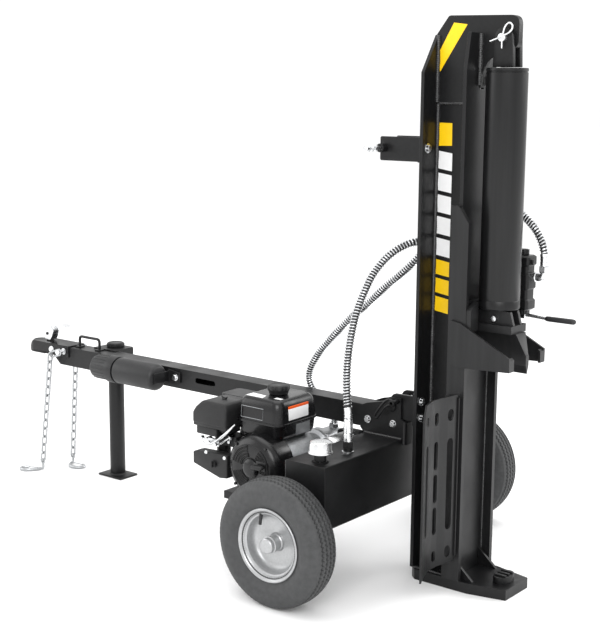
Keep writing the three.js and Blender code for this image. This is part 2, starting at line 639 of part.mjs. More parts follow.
function topPlate() {
  const { x0, x1, flange, joint } = BEAM;
  const inner = x0 + flange + GAP;
  const shape = new THREE.Shape();
  shape.moveTo(inner, joint + GAP);
  shape.lineTo(x1 - flange - GAP, joint + GAP);
  shape.lineTo(x1 - flange - GAP, 1573);
  shape.lineTo(x1 + 2, 1576);
  shape.quadraticCurveTo(x1 + 6, 1650, 398, 1668);
  shape.lineTo(462, 1690);
  shape.quadraticCurveTo(476, 1696, 477, 1712);
  shape.lineTo(477, PLATE.top - 32);
  shape.quadraticCurveTo(477, PLATE.top - 4, 448, PLATE.top - 4);
  shape.lineTo(242, PLATE.top);
  shape.quadraticCurveTo(234, PLATE.top, 230, 1786);
  shape.lineTo(x0 + 4, 1735 + GAP);
  shape.lineTo(inner, 1735 + GAP);
  const body = extrude(shape, 'y', -PLATE.half, PLATE.half, 6);
  return cut(body, hole('y', [CYL.x, 0, CYL.pinZ], CYL.pin, -20, 20));
}

function rail(side) {
  const { inner, outer, x0, x1, top, shoulder } = RAIL;
  const [a, b] = side < 0 ? [-outer, -inner] : [inner, outer];
  const bottom = FOOT.thick + GAP;
  const bar0 = plate([[x0, bottom], [x1, bottom], [x1, shoulder], [x0 + 26, top], [x0, top]], 'y', a, b);
  const { x1: tipX, z0, z1, tip, lip, thick } = STRIPPER;
  const wing = [[x0 + 14, z0 + 10], [x1 - 16, z0], [tipX, z0 + 8], [tipX, tip], [x1 - 14, z1 - 6],
    [x0 + 14, z1]];
  const [c, d] = side < 0 ? [-outer - thick, -outer + 0.5] : [outer - 0.5, outer + thick];
  const [e, f] = side < 0 ? [-outer - thick, -outer + lip] : [outer - lip, outer + thick];
  const lipPlate = plate([[tipX - 8, z0 + 8], [tipX, z0 + 8], [tipX, tip - 6], [tipX - 8, tip]], 'y', e, f);
  return join(bar0, plate(wing, 'y', c, d), lipPlate);
}

function footPlate() {
  const { thick, half, nose, x0, x1 } = FOOT;
  const side = [[x0, 80], [x0 + 20, half], [408, half], [x1, nose]];
  const slab = plate([...side, ...mirrorY(side)], 'z', 0, thick);
  const cleat = oval(486, 0, 30, 42, thick - 1, thick + 22);
  const teeth = [-1, 0, 1].map((i) => block(466, 506, i * 22 - 5, i * 22 + 5, thick + 16, thick + 27));
  const bolts = [-1, 1].flatMap((s) => [250, 292].map((x) => hexagon('z', [x, s * 60, 0], 13, thick - 1,
    thick + 9)));
  const gussets = [-1, 1].map((s) => {
    const [a, b] = s < 0 ? [-80, -70] : [70, 80];
    return plate([[BEAM.x1 + GAP, thick - 1], [BEAM.x1 + 70, thick - 1], [BEAM.x1 + GAP, thick + 60]], 'y',
      a, b);
  });
  return join(slab, cleat, ...teeth, ...bolts, ...gussets);
}

function oval(x, y, rx, ry, z0, z1) {
  const shape = new THREE.Shape();
  shape.absellipse(x, y, rx, ry, 0, Math.PI * 2);
  return extrude(shape, 'z', z0, z1, 10);
}

function logCradle() {
  const { z0, z1, thick } = CRADLE;
  const middle = [[366, -113], [364.5, -136], [361, -164], [354, -196], [352.5, -234], [359, -262],
    [371.5, -298],
    [382, -322], [392, -342]];
  const side = (offset) => middle.map(([x, y], i) => {
    const [before, after] = [middle[Math.max(i - 1, 0)], middle[Math.min(i + 1, middle.length - 1)]];
    const along = new THREE.Vector2(after[0] - before[0], after[1] - before[1]).normalize();
    return [x - along.y * offset, y + along.x * offset];
  });
  const sheet = plate([...side(thick / 2), ...side(-thick / 2).reverse()], 'z', z0, z1);
  const through = (y, low, high, wide) => roundedBox(y - wide, y + wide, low, high, wide - 0.5, 'x', 320,
    430, 1);
  const cuts = [
    through(-285, 574, 605, 11), through(-285, 226, 516, 11),
    through(-215, 563, 604, 10), through(-215, 422, 513, 10), through(-215, 317, 409, 10),
    through(-215, 215, 304, 10),
    through(-215, 128, 163, 10),
    through(-150, 567, 605, 14), through(-150, 218, 513, 14), through(-150, 127, 166, 14),
  ];
  const trim = plate([[-300, z1 + 1], [-360, z1 + 1], [-360, z1 - 60]], 'x', 330, 430);
  const trimLow = plate([[-120, z0 - 1], [-360, z0 - 1], [-120, z0 + 6]], 'x', 330, 430);
  const gusset = (z) => plate([[RAIL.x0 + 6, -112.6], [362, -112.6], [354, -160], [347, -200], [352, -250],
    [366, -300],
    [300, -190]], 'z', z, z + 8);
  const foot = block(RAIL.x0 + 6, 374, -119, -RAIL.outer - STRIPPER.thick - GAP, z0 + 20, z1 - 10);
  return join(cut(sheet, ...cuts, trim, trimLow), foot, gusset(556), gusset(186));
}

// A channel bent from plate: its legs hang on the pivot pin, its web is bolted to the beam's back flange.
function pivotBracket() {
  const { x0 } = BEAM;
  const wall = new THREE.Shape();
  wall.moveTo(x0 - 8, 506);
  wall.lineTo(x0 - 8, 590);
  wall.lineTo(PIVOT.x + 6, 588);
  wall.quadraticCurveTo(PIVOT.x - 12, 584, PIVOT.x - 15, PIVOT.z);
  wall.absarc(PIVOT.x, PIVOT.z, 15, Math.PI, Math.PI * 1.5);
  wall.lineTo(96, 506);
  const bent = cut(
    roundedBox(20, x0 - 8, -37, 37, 16, 'z', 500, 600, 3),
    roundedBox(0, x0 - 18, -27, 27, 6, 'z', 499, 601),
  );
  const channel = bent.intersect(extrude(wall, 'y', -60, 60, 5));
  const back = block(x0 - 9, x0 - GAP, -80, 80, 505, 610);
  const holes = [
    hole('y', [PIVOT.x, 0, PIVOT.z], PIVOT.radius, -40, 40),
    hole('y', [LOCK.x, 0, LOCK.z], LOCK.hole, -40, 40, 12),
    hole('y', [PIVOT.x + LOCK.z - PIVOT.z, 0, PIVOT.z - LOCK.x + PIVOT.x], LOCK.hole, -40, 40, 12),
  ];
  return cut(join(channel, back), ...holes);
}

function travelBracket() {
  const { x0 } = BEAM;
  const { x, z, half, pin, front, z0, z1 } = TRAVEL;
  const arm = [[x0 - 8, z0], [x0 - 8, z1], [front + 4, z1], [front, z1 - 4], [front, z0 + 4],
    [front + 4, z0]];
  const walls = [-half - 8, half].map((y) => plate(arm, 'y', y, y + 8));
  const back = block(x0 - 9, x0 - GAP, -82, 82, z0, z1);
  const guide = rod('y', [x, 0, z], 14, -half - 34, -half - 7.5, 18);
  const bore = hole('y', [x, 0, z], pin, -half - 60, half + 20);
  return cut(join(...walls, back, guide), bore);
}

// Drawn back here; it slides in by 20 mm.
function travelPin() {
  const { x, z, half, pin } = TRAVEL;
  return join(
    rod('y', [x, 0, z], pin, -half - 112, -half - 1),
    rod('y', [x, 0, z], 12, -half - 72, -half - 56),
    turned([[0, -half - 114], [10, -half - 112], [10, -half - 98], [0, -half - 96]], 'y', [x, 0, z]),
  );
}

function uprightLockPin() {
  const { x, z, radius } = LOCK;
  const face = -CHEEK.outer;
  const y = face - 33;
  const loop = bar([[x, y, z], [x - 12, y, z + 8], [x - 36, y, z - 14], [x - 62, y, z - 46],
    [x - 56, y, z - 60]], 4, 8, 8);
  return join(rod('y', [x, 0, z], radius, y - 4, face + 7, 12), rod('y', [x, 0, z], 11, y - 4, y + 4, 12),
    loop);
}

function pivotPin() {
  const y = CHEEK.outer + GAP;
  return join(
    rod('y', [PIVOT.x, 0, PIVOT.z], PIVOT.radius, -y - 1, y + 1),
    rod('y', [PIVOT.x, 0, PIVOT.z], 17, -y - 6, -y),
    rod('y', [PIVOT.x, 0, PIVOT.z], 17, y, y + 6),
  );
}

// ---- cylinder and wedge ------------------------------------------------------------
function cylinderBarrel() {
  const { x, radius, bore, z0, z1, pinZ, rod: rodRadius } = CYL;
  const tube = turned([[rodRadius + GAP, z0], [radius, z0], [radius, z0 + 28], [radius - 1.5, z0 + 30],
    [radius - 1.5, z1 - 8], [radius + 0.5, z1 - 6], [radius + 0.5, z1 + 4], [0, z1 + 4], [0, z1 - 34],
    [bore, z1 - 34], [bore, z0 + 40], [rodRadius + GAP, z0 + 40], [rodRadius + GAP, z0]], 'z', [x, 0, 0]);
  const ear = new THREE.Shape();
  ear.moveTo(x - 34, z1 + 2);
  ear.lineTo(x + 34, z1 + 2);
  ear.lineTo(x + 30, pinZ);
  ear.absarc(x, pinZ, 30, 0, Math.PI);
  const ears = [-31, PLATE.half + 1].map((y) => extrude(ear, 'y', y, y + 17.5, 8));
  const port = (z) => rod('y', [x, 0, z], 16, radius - 8, radius + 10, 14);
  return cut(join(tube, ...ears, port(z0 + 24)), hole('y', [x, 0, pinZ], CYL.pin, -40, 40));
}

function cylinderPin() {
  const { x, pinZ, pin } = CYL;
  const clip = bar([[x, -42, pinZ - 18], [x + 2, -42, pinZ + 10], [x + 14, -42, pinZ + 32],
    [x + 24, -42, pinZ + 26]], 2.5, 6, 4);
  return join(rod('y', [x, 0, pinZ], pin, -45, 40), clip, rod('y', [x, 0, pinZ], 17, 34, 40));
}

function pistonRod() {
  const { x, bore, z1, rodPinZ, rod: rodRadius, rodPin } = CYL;
  const head = z1 - 34 - GAP;
  const shaft = rod('z', [x, 0, 0], rodRadius, rodPinZ + 27, head - 20, 20);
  const piston = rod('z', [x, 0, 0], bore - GAP, head - 39, head, 20);
  const lug = join(block(x - 20, x + 20, -15, 15, rodPinZ - 6, rodPinZ + 28),
    rod('y', [x, 0, rodPinZ], 15.5, -15, 15));
  return cut(join(shaft, piston, lug), hole('y', [x, 0, rodPinZ], rodPin, -20, 20));
}

function wedge() {
  const { x0, x1, top, tip, plateTop, half } = WEDGE;
  const slide = block(x0, x0 + 23, -half, half, 740, 926);
  const wings = [-1, 1].map((s) => {
    const [a, b] = s < 0 ? [-103, -60] : [60, 103];
    const face = s < 0
      ? [[a, 842], [b, 842], [b, 930], [a + 14, 918], [a, 906]]
      : [[a, 842], [b, 842], [b, 906], [b - 14, 918], [a, 930]];
    return join(
      plate(face, 'x', RAIL.x1 + GAP, RAIL.x1 + 17),
      block(x0 + 20, RAIL.x1 + 2, s < 0 ? -half : 60, s < 0 ? -60 : half, 842, 906),
    );
  });
  const blade = plate([[0, tip], [9, tip + 26], [9, tip + 58], [30, top], [-30, top], [-9, tip + 58],
    [-9, tip + 26]], 'x',
    x0 + 20, x1);
  const nose = plate([[x1 - 26, top + 1], [x1 + 1, top + 1], [x1 + 1, top - 66], [x1 - 2, top - 66]], 'y',
    -40, 40);
  const push = block(x0 + 20, x1 - 34, -46, 46, top - 0.5, plateTop);
  const ear = outline([[x0 + 20, plateTop - 1], [x1 - 38, plateTop - 1], [x1 - 50, 903], [x0 + 20, 903]]);
  const ears = [-28, 16].map((y) => extrude(ear, 'y', y, y + 12));
  const bore = hole('y', [CYL.x, 0, CYL.rodPinZ], CYL.rodPin, -60, 60);
  return cut(join(slide, ...wings, cut(blade, nose), push, ...ears), bore);
}

function wedgePin() {
  const { x, rodPinZ, rodPin } = CYL;
  return join(rod('y', [x, 0, rodPinZ], rodPin, -36, 36), rod('y', [x, 0, rodPinZ], 14, 28.5, 36));
}

// ---- valve ---------------------------------------------------------------------------
function valveBody() {
  const { x0, x1, y0, y1, z0, z1 } = VALVE;
  const body = roundedBox(x0, x1, y0, y1, 8, 'z', z0, z1, 2);
  const bonnet = rod('z', [456, 110, 0], 20, z0 - 6, z0 + 2, 14);
  const topCap = rod('z', [456, 110, 0], 16, z1 - 2, z1 + 18, 12);
  const { y, z, top } = ELBOW;
  const stub = rod('x', [0, y, z], 17, x1 - 2, x1 + 24, 10);
  const elbow = bar([[x1 + 10, y, z], [x1 + 26, y, z], [x1 + 38, y, z + 10], [x1 + 38, y, z + 24]], 12, 8, 5);
  const swivel = hexagon('z', [x1 + 38, y, 0], 17, top - 20, top);
  const nipple = rod('y', [CYL.x, 0, CYL.z0 + 24], 12, CYL.radius + 10 + GAP, y0 + 2, 12);
  const inlet = rod('x', [0, 120, 940], 15, x0 - 22, x0 + 2, 12);
  const lugs = [-18.5, 14.5].map((off) => (
    block(SPOOL.x - 10, SPOOL.x + 8, SPOOL.y + off, SPOOL.y + off + 4, SPOOL.z - 9, z0 + 1)));
  return join(body, bonnet, topCap, stub, elbow, swivel, nipple, inlet, ...lugs);
}

function valveLever() {
  const { x, y, z } = SPOOL;
  const hub = rod('y', [x, 0, z], 8, y - 14, y + 14, 12);
  const arm = bar([[x, y, z], [x + 34, y, z - 2], [x + 84, y, z - 5]], 5, 8, 3);
  const grip = turned([[0, x + 76], [6, x + 76], [8.5, x + 86], [8.5, x + 172], [6, x + 177], [0, x + 178]],
    'x',
    [0, y, z - 5], 12);
  return join(hub, arm, grip);
}

// ---- hoses ------------------------------------------------------------------------------
const RETURN_ROUTE = [[65, -272, 544.4], [65, -272, 562], [50, -260, 616], [36, -243, 690], [30, -226, 757],
  [30, -206, 829], [34, -184, 890], [42, -159, 942], [54, -132, 993], [80, -100, 1042], [112, -70, 1075],
  [145, -36, 1092], [158, 10, 1080], [164, 60, 1050], [176, 104, 1010], [206, 134, 970], [260, 146, 948],
  [330, 134, 941], [366, 121, 940], [401.4, 120, 940]];
const PRESSURE_ROUTE = [[-235, 54, 418.6], [-235, 54, 440], [-262, 58, 468], [-310, 62, 496], [-350, 62, 545],
  [-352, 62, 585], [-318, 62, 646], [-272, 62, 700], [-215, 62, 758], [-162, 62, 808], [-100, 62, 858],
  [-32, 62, 920],
  [30, 64, 970], [86, 68, 1024], [120, 80, 1070], [150, 104, 1120], [200, 132, 1164], [270, 142, 1194],
  [350, 138, 1204], [424, 126, 1192], [484, 114, 1152], [516, 112, 1104], [526, 112, 1060],
  [526, 112, 1034.6]];

function hose(route, steps) {
  return bar(route, HOSE.radius, HOSE.sides, steps);
}

// ---- assembly -----------------------------------------------------------------------------
add('tank', oilTank(), PAINT);
add('spindle_near', spindle(-1), ZINC);
add('spindle_far', spindle(1), ZINC);
add('pivot_frame', pivotFrame(), PAINT);
add('tongue', tongue(), PAINT);
add('coupler', coupler(), PAINT);
add('coupler_latch', couplerLatch(), ZINC);
add('coupler_bolt_front', crossBolt(COUPLER.bolts[0], 46), ZINC);
add('coupler_bolt_rear', crossBolt(COUPLER.bolts[1], 75), ZINC);
add('tongue_handle', tongueHandle(), PAINT);
add('stand_bracket', standBracket(), PAINT);
add('stand_leg', standLeg(), PAINT);
add('canister', canisterBody(), PLASTIC);
add('canister_cap', canisterCap(), PLASTIC);
add('canister_bracket', canisterBracket(), PAINT);
add('chain_near', chain(-1), ZINC);
add('chain_far', chain(1), ZINC);
wheel(-1, 'near');
wheel(1, 'far');
add('engine_mount', engineMount(), PAINT);
add('engine_block', engineBlock(), ALLOY);
add('blower_housing', blowerHousing(), PLASTIC);
add('recoil_grip', recoilGrip(), PLASTIC);
add('fuel_tank', fuelTank(), PAINT);
add('fuel_cap', knurledCap(CAP, 34, 577.3, 608, 8), PLASTIC);
add('air_cleaner', airCleaner(), PLASTIC);
add('carburettor', carburettor(), ALLOY);
add('throttle_lever', smallLever(THROTTLE, 16, 20), ZINC);
add('choke_lever', smallLever(CHOKE, -22, 6), PLASTIC);
add('engine_switch', engineSwitch(), PLASTIC);
add('dipstick', dipstick(), ORANGE);
add('filler_cap', fillerCap(), ALLOY);
add('control_box', controlBox(), PLASTIC);
add('muffler', muffler(), ALLOY);
add('pump', pump(), ALLOY);
const filter = oilFilter();
add('oil_filter', filter.can, ALLOY);
add('filter_head', filter.head, PAINT);
add('return_fitting', returnFitting(), ZINC);
add('beam', beam(), PAINT);
add('top_plate', topPlate(), PAINT);
add('rail_near', rail(-1), PAINT);
add('rail_far', rail(1), PAINT);
add('foot_plate', footPlate(), PAINT);
add('log_cradle', logCradle(), PAINT);
add('pivot_bracket', pivotBracket(), PAINT);
add('travel_bracket', travelBracket(), PAINT);
add('travel_pin', travelPin(), ZINC);
add('upright_lock_pin', uprightLockPin(), ZINC);
add('pivot_pin', pivotPin(), ZINC);
add('cylinder', cylinderBarrel(), PAINT);
add('cylinder_pin', cylinderPin(), ZINC);
add('piston_rod', pistonRod(), CHROME);
add('wedge', wedge(), PAINT);
add('wedge_pin', wedgePin(), ZINC);
add('valve_body', valveBody(), PAINT);
add('valve_lever', valveLever(), ZINC);
add('hose_return', hose(RETURN_ROUTE, 26), HOSE_SKIN);
add('hose_pressure', hose(PRESSURE_ROUTE, 30), HOSE_SKIN);

export default machine;
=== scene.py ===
"""Looks for a towable upright log splitter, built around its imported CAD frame."""
import json
import math

import bmesh
import bpy
from mathutils import Matrix, Vector

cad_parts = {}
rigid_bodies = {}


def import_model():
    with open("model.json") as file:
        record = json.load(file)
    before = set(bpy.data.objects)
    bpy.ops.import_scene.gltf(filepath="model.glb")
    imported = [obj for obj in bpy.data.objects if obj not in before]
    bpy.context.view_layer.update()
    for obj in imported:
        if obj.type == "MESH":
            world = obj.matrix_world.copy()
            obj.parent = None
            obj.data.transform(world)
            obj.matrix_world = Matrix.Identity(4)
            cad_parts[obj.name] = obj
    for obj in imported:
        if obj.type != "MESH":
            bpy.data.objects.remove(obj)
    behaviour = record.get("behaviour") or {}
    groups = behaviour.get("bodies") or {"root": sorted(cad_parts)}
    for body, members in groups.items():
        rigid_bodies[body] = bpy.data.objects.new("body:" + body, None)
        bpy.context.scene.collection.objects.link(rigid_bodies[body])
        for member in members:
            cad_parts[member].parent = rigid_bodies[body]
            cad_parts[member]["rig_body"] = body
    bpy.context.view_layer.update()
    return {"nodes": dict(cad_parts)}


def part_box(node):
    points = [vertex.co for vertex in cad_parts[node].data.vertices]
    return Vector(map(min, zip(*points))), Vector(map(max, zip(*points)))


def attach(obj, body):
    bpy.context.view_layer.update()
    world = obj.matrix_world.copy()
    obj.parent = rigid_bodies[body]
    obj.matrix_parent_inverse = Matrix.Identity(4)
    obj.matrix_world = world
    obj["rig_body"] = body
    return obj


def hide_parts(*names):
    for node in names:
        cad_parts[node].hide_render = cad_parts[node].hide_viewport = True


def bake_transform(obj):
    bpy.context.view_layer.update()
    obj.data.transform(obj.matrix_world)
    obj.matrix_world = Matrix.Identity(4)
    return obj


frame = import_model()

MM = 0.001
TAU = 2 * math.pi
SHARP = math.radians(33)


# ---- where things are, in millimetres, from the frame ------------------------
def low(node):
    return Vector([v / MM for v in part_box(node)[0]])


def high(node):
    return Vector([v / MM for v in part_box(node)[1]])


def mid(node):
    return (low(node) + high(node)) / 2


# ---- mesh building, in millimetres --------------------------------------------
BASIS = {"x": Matrix(((0, 0, 1), (1, 0, 0), (0, 1, 0))), "y": Matrix(((1, 0, 0), (0, 0, 1), (0, 1, 0))),
    "z": Matrix.Identity(3),}


class Build:
    """Collects primitives in one bmesh. An outline is (y, z) for axis x, (x, z) for y and (x, y) for z."""

    def __init__(self):
        self.bm = bmesh.new()
        self.slot = 0

    def faces(self, points, faces):
        verts = [self.bm.verts.new(p) for p in points]
        made = []
        for face in faces:
            made.append(self.bm.faces.new([verts[i] for i in face]))
            made[-1].material_index = self.slot
        return verts, made

    def lathe(self, profile, axis, at, sides=48):
        closed = profile[0] == profile[-1]
        rings = profile[:-1] if closed else profile
        points, starts = [], []
        turn = BASIS[axis]
        for r, h in rings:
            starts.append((len(points), r < 1e-6))
            for i in range(1 if r < 1e-6 else sides):
                a = TAU * i / sides
                points.append(turn @ Vector((r * math.cos(a), r * math.sin(a), h)) + Vector(at))
        faces = []
        pairs = list(zip(starts, starts[1:] + (starts[:1] if closed else [])))
        for (a, a_tip), (b, b_tip) in pairs[: len(starts) - (0 if closed else 1)]:
            for i in range(sides):
                j = (i + 1) % sides
                if a_tip:
                    faces.append((a, b + j, b + i))
                elif b_tip:
                    faces.append((a + i, a + j, b))
                else:
                    faces.append((a + i, a + j, b + j, b + i))
        return self.faces(points, faces)

    def rod(self, axis, at, radius, a, b, sides=32, round_by=0.8):
        k = min(round_by, radius * 0.4, abs(b - a) * 0.3)
        return self.lathe([(0, a), (radius - k, a), (radius - k * 0.3, a + k * 0.3), (radius, a + k),
            (radius, b - k), (radius - k * 0.3, b - k * 0.3), (radius - k, b), (0, b)], axis, at, sides)

    def hexagon(self, axis, at, radius, a, b):
        top = 0.12 * radius
        return self.lathe([(0, a), (radius - top, a), (radius, a + top), (radius, b - top),
            (radius - top, b), (0, b)], axis, at, 6)

    def prism(self, outline, axis, a, b, bevel=1.5, steps=2):
        turn = BASIS[axis]
        n = len(outline)
        points = [turn @ Vector((u, v, w)) for w in (a, b) for u, v in outline]
        faces = [tuple(range(n)), tuple(range(n, 2 * n))]
        faces += [(i, (i + 1) % n, n + (i + 1) % n, n + i) for i in range(n)]
        _, made = self.faces(points, faces)
        if bevel:
            self.bevel(made, bevel, steps)

    def bevel(self, faces, width, steps=2, angle=25):
        bmesh.ops.recalc_face_normals(self.bm, faces=faces)
        edges = {e for f in faces for e in f.edges if len(e.link_faces) == 2}
        sharp = [e for e in edges if e.calc_face_angle(0) > math.radians(angle)]
        out = bmesh.ops.bevel(self.bm, geom=sharp, offset=width, segments=steps, profile=0.5,
            affect="EDGES", clamp_overlap=True)
        for face in out["faces"]:
            face.material_index = self.slot

    def box(self, x0, x1, y0, y1, z0, z1, bevel=1.5, steps=2):
        self.prism([(x0, y0), (x1, y0), (x1, y1), (x0, y1)], "z", z0, z1, bevel, steps)

    def tube(self, path, radius, sides=16, closed=False, cap=True):
        """A round bar along a list of points; radius may be a function of the share of the way along."""
        pts = [Vector(p) for p in path]
        n = len(pts)
        size = radius if callable(radius) else (lambda t: radius)
        tangents = []
        for i in range(n):
            before = pts[i - 1] if closed or i else pts[0]
            after = pts[(i + 1) % n] if closed or i < n - 1 else pts[-1]
            tangents.append((after - before).normalized())
        side = tangents[0].orthogonal().normalized()
        sides_of = []
        for i, t in enumerate(tangents):
            if i:
                side = tangents[i - 1].rotation_difference(t) @ side
            sides_of.append(side.copy())
        twist = 0.0
        if closed:
            last = tangents[-1].rotation_difference(tangents[0]) @ sides_of[-1]
            twist = last.angle(sides_of[0])
            if last.cross(sides_of[0]).dot(tangents[0]) < 0:
                twist = -twist
        points = []
        for i, (p, t, s) in enumerate(zip(pts, tangents, sides_of)):
            s = Matrix.Rotation(twist * i / n, 3, t) @ s
            q = t.cross(s)
            r = size(i / max(n - 1, 1))
            points += [p + r * (math.cos(TAU * k / sides) * s + math.sin(TAU * k / sides) * q)
                for k in range(sides)]
        rows = n if closed else n - 1
        faces = [(i * sides + k, i * sides + (k + 1) % sides, ((i + 1) % n) * sides + (k + 1) % sides,
            ((i + 1) % n) * sides + k) for i in range(rows) for k in range(sides)]
        if cap and not closed:
            faces += [tuple(reversed(range(sides))), tuple(range((n - 1) * sides, n * sides))]
        return self.faces(points, faces)

    def done(self, name, body, looks, *replaced, angle=SHARP):
        bmesh.ops.recalc_face_normals(self.bm, faces=self.bm.faces)
        bmesh.ops.scale(self.bm, vec=(MM, MM, MM), verts=self.bm.verts)
        mesh = bpy.data.meshes.new(name)
        self.bm.to_mesh(mesh)
        self.bm.free()
        return finish_piece(mesh, name, body, looks, replaced, angle)


def finish_piece(mesh, name, body, looks, replaced, angle=SHARP):
    looks = looks if isinstance(looks, (list, tuple)) else [looks]
    for look in looks:
        mesh.materials.append(look)
    mesh.shade_smooth()
    mesh.set_sharp_from_angle(angle=angle)
    piece = bpy.data.objects.new(name, mesh)
    bpy.context.scene.collection.objects.link(piece)
    if body:
        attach(piece, body)
    if replaced:
        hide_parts(*replaced)
    return piece


def body_of(node):
    return frame["nodes"][node]["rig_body"]


def fine(node, look, bevel=1.2, steps=2, angle=30):
    """A copy of a CAD node with its flat faces joined up and its edges rounded."""
    mesh = frame["nodes"][node].data.copy()
    mesh.materials.clear()
    bm = bmesh.new()
    bm.from_mesh(mesh)
    bmesh.ops.remove_doubles(bm, verts=bm.verts, dist=2e-5)
    bmesh.ops.dissolve_limit(bm, angle_limit=math.radians(1), verts=bm.verts, edges=bm.edges)
    for face in bm.faces:
        face.material_index = 0
    bm.to_mesh(mesh)
    bm.free()
    piece = finish_piece(mesh, node + "_fine", body_of(node), look, [node])
    rounding = piece.modifiers.new("edges", "BEVEL")
    rounding.width = bevel * MM
    rounding.segments = steps
    rounding.limit_method = "ANGLE"
    rounding.angle_limit = math.radians(angle)
    rounding.harden_normals = True
    return piece


def spline(points, per=8, closed=False):
    """Points of a centripetal-like Catmull-Rom curve through the given ones."""
    pts = [Vector(p) for p in points]
    n = len(pts)
    out = []
    for i in range(n if closed else n - 1):
        p1, p2 = pts[i], pts[(i + 1) % n]
        p0 = pts[i - 1] if closed or i else p1 + (p1 - p2)
        p3 = pts[(i + 2) % n] if closed or i < n - 2 else p2 + (p2 - p1)
        for k in range(per):
            out.append(centripetal(p0, p1, p2, p3, k / per))
    if not closed:
        out.append(pts[-1].copy())
    return out


def centripetal(p0, p1, p2, p3, share):
    t1 = max((p1 - p0).length, 1e-6) ** 0.5
    t2 = t1 + max((p2 - p1).length, 1e-6) ** 0.5
    t3 = t2 + max((p3 - p2).length, 1e-6) ** 0.5
    t = t1 + (t2 - t1) * share
    a1 = p0 * ((t1 - t) / t1) + p1 * (t / t1)
    a2 = p1 * ((t2 - t) / (t2 - t1)) + p2 * ((t - t1) / (t2 - t1))
    a3 = p2 * ((t3 - t) / (t3 - t2)) + p3 * ((t - t2) / (t3 - t2))
    b1 = a1 * ((t2 - t) / t2) + a2 * (t / t2)
    b2 = a2 * ((t3 - t) / (t3 - t1)) + a3 * ((t - t1) / (t3 - t1))
    return b1 * ((t2 - t) / (t2 - t1)) + b2 * ((t - t1) / (t2 - t1))


# ---- materials -------------------------------------------------------------------
def look(name, slot, color, rough, metal=0.0, spread=0.15, scale=120.0, bump=0.0, bump_scale=900.0,
         rough_spread=0.08,
         coat=0.0, stretch=(1, 1, 1), shine=0.5):
    """A procedural finish: mottled colour, uneven gloss and a fine surface grain."""
    material = bpy.data.materials.new(name)
    material["slot"] = slot
    material.use_nodes = True
    nodes, links = material.node_tree.nodes, material.node_tree.links
    shader = nodes["Principled BSDF"]
    shader.inputs["Metallic"].default_value = metal
    shader.inputs["Specular IOR Level"].default_value = shine
    shader.inputs["Coat Weight"].default_value = coat
    shader.inputs["Coat Roughness"].default_value = 0.25
    place = nodes.new("ShaderNodeTexCoord")
    mapping = nodes.new("ShaderNodeMapping")
    mapping.inputs["Scale"].default_value = stretch
    links.new(place.outputs["Object"], mapping.inputs["Vector"])

    def noise(size, detail):
        node = nodes.new("ShaderNodeTexNoise")
        node.inputs["Scale"].default_value = size
        node.inputs["Detail"].default_value = detail
        links.new(mapping.outputs["Vector"], node.inputs["Vector"])
        return node

    mottle = noise(scale, 4)
    ramp = nodes.new("ShaderNodeValToRGB")
    ramp.color_ramp.elements[0].position = 0.3
    ramp.color_ramp.elements[1].position = 0.72
    ramp.color_ramp.elements[0].color = (*[c * (1 - spread) for c in color], 1)
    ramp.color_ramp.elements[1].color = (*[min(c * (1 + spread), 1) for c in color], 1)
    links.new(mottle.outputs["Fac"], ramp.inputs["Fac"])
    links.new(ramp.outputs["Color"], shader.inputs["Base Color"])
    smear = noise(scale * 0.12, 3)
    gloss = nodes.new("ShaderNodeMapRange")
    gloss.inputs["From Min"].default_value = 0.3
    gloss.inputs["From Max"].default_value = 0.7
    gloss.inputs["To Min"].default_value = max(rough - rough_spread, 0.03)
    gloss.inputs["To Max"].default_value = min(rough + rough_spread, 1)
    links.new(smear.outputs["Fac"], gloss.inputs["Value"])
    links.new(gloss.outputs["Result"], shader.inputs["Roughness"])
    if bump:
        grain = noise(bump_scale, 2)
        lift = nodes.new("ShaderNodeBump")
        lift.inputs["Strength"].default_value = bump
        lift.inputs["Distance"].default_value = 0.0006
        links.new(grain.outputs["Fac"], lift.inputs["Height"])
        links.new(lift.outputs["Normal"], shader.inputs["Normal"])
    return material


PAINT = look("satin_black_powder_coat", "powder_coat", (0.007, 0.0071, 0.0075), 0.38, spread=0.2, scale=90,
    bump=0.2, bump_scale=700, rough_spread=0.07, shine=0.3)
PAINT_SOFT = look("brushed_black_paint", "powder_coat", (0.009, 0.0091, 0.0096), 0.4, spread=0.3, scale=60,
    bump=0.16, bump_scale=500, stretch=(1, 1, 0.08), shine=0.35)
# Painted highlight: the weld beads get a lighter grey than the black frame paint, standing in for the light
# their ripples catch in their recess.
WELD_PAINTED_SHEEN = look("weld_with_painted_sheen", "powder_coat", (0.04, 0.04, 0.041), 0.28, spread=0.6, scale=260, bump=0.9,
    bump_scale=300)
BARREL = look("barrel_paint", "powder_coat", (0.006, 0.0061, 0.0065), 0.32, spread=0.35, scale=70, bump=0.2,
    bump_scale=420, stretch=(1, 1, 0.04), shine=0.32)
PLASTIC = look("grained_black_plastic", "black_plastic", (0.012, 0.012, 0.0125), 0.45, spread=0.12,
    bump=0.35, bump_scale=1500, shine=0.35)
ENAMEL = look("satin_engine_enamel", "powder_coat", (0.005, 0.005, 0.0055), 0.25, spread=0.1, bump=0.1,
    bump_scale=600, shine=0.4)
CAN_PLASTIC = look("canister_plastic", "black_plastic", (0.016, 0.0163, 0.017), 0.42, spread=0.1, bump=0.2,
    bump_scale=1200, shine=0.4)
ZINC = look("bright_zinc", "zinc", (0.80, 0.81, 0.82), 0.26, metal=1.0, spread=0.1, scale=300, bump=0.15,
    bump_scale=1300, rough_spread=0.08)
ALLOY = look("cast_alloy", "alloy", (0.42, 0.43, 0.44), 0.42, metal=0.9, spread=0.14, scale=200, bump=0.5,
    bump_scale=1400)
CAN_STEEL = look("plated_can", "alloy", (0.72, 0.725, 0.73), 0.27, metal=1.0, spread=0.08, scale=160,
    bump=0.1, bump_scale=800)
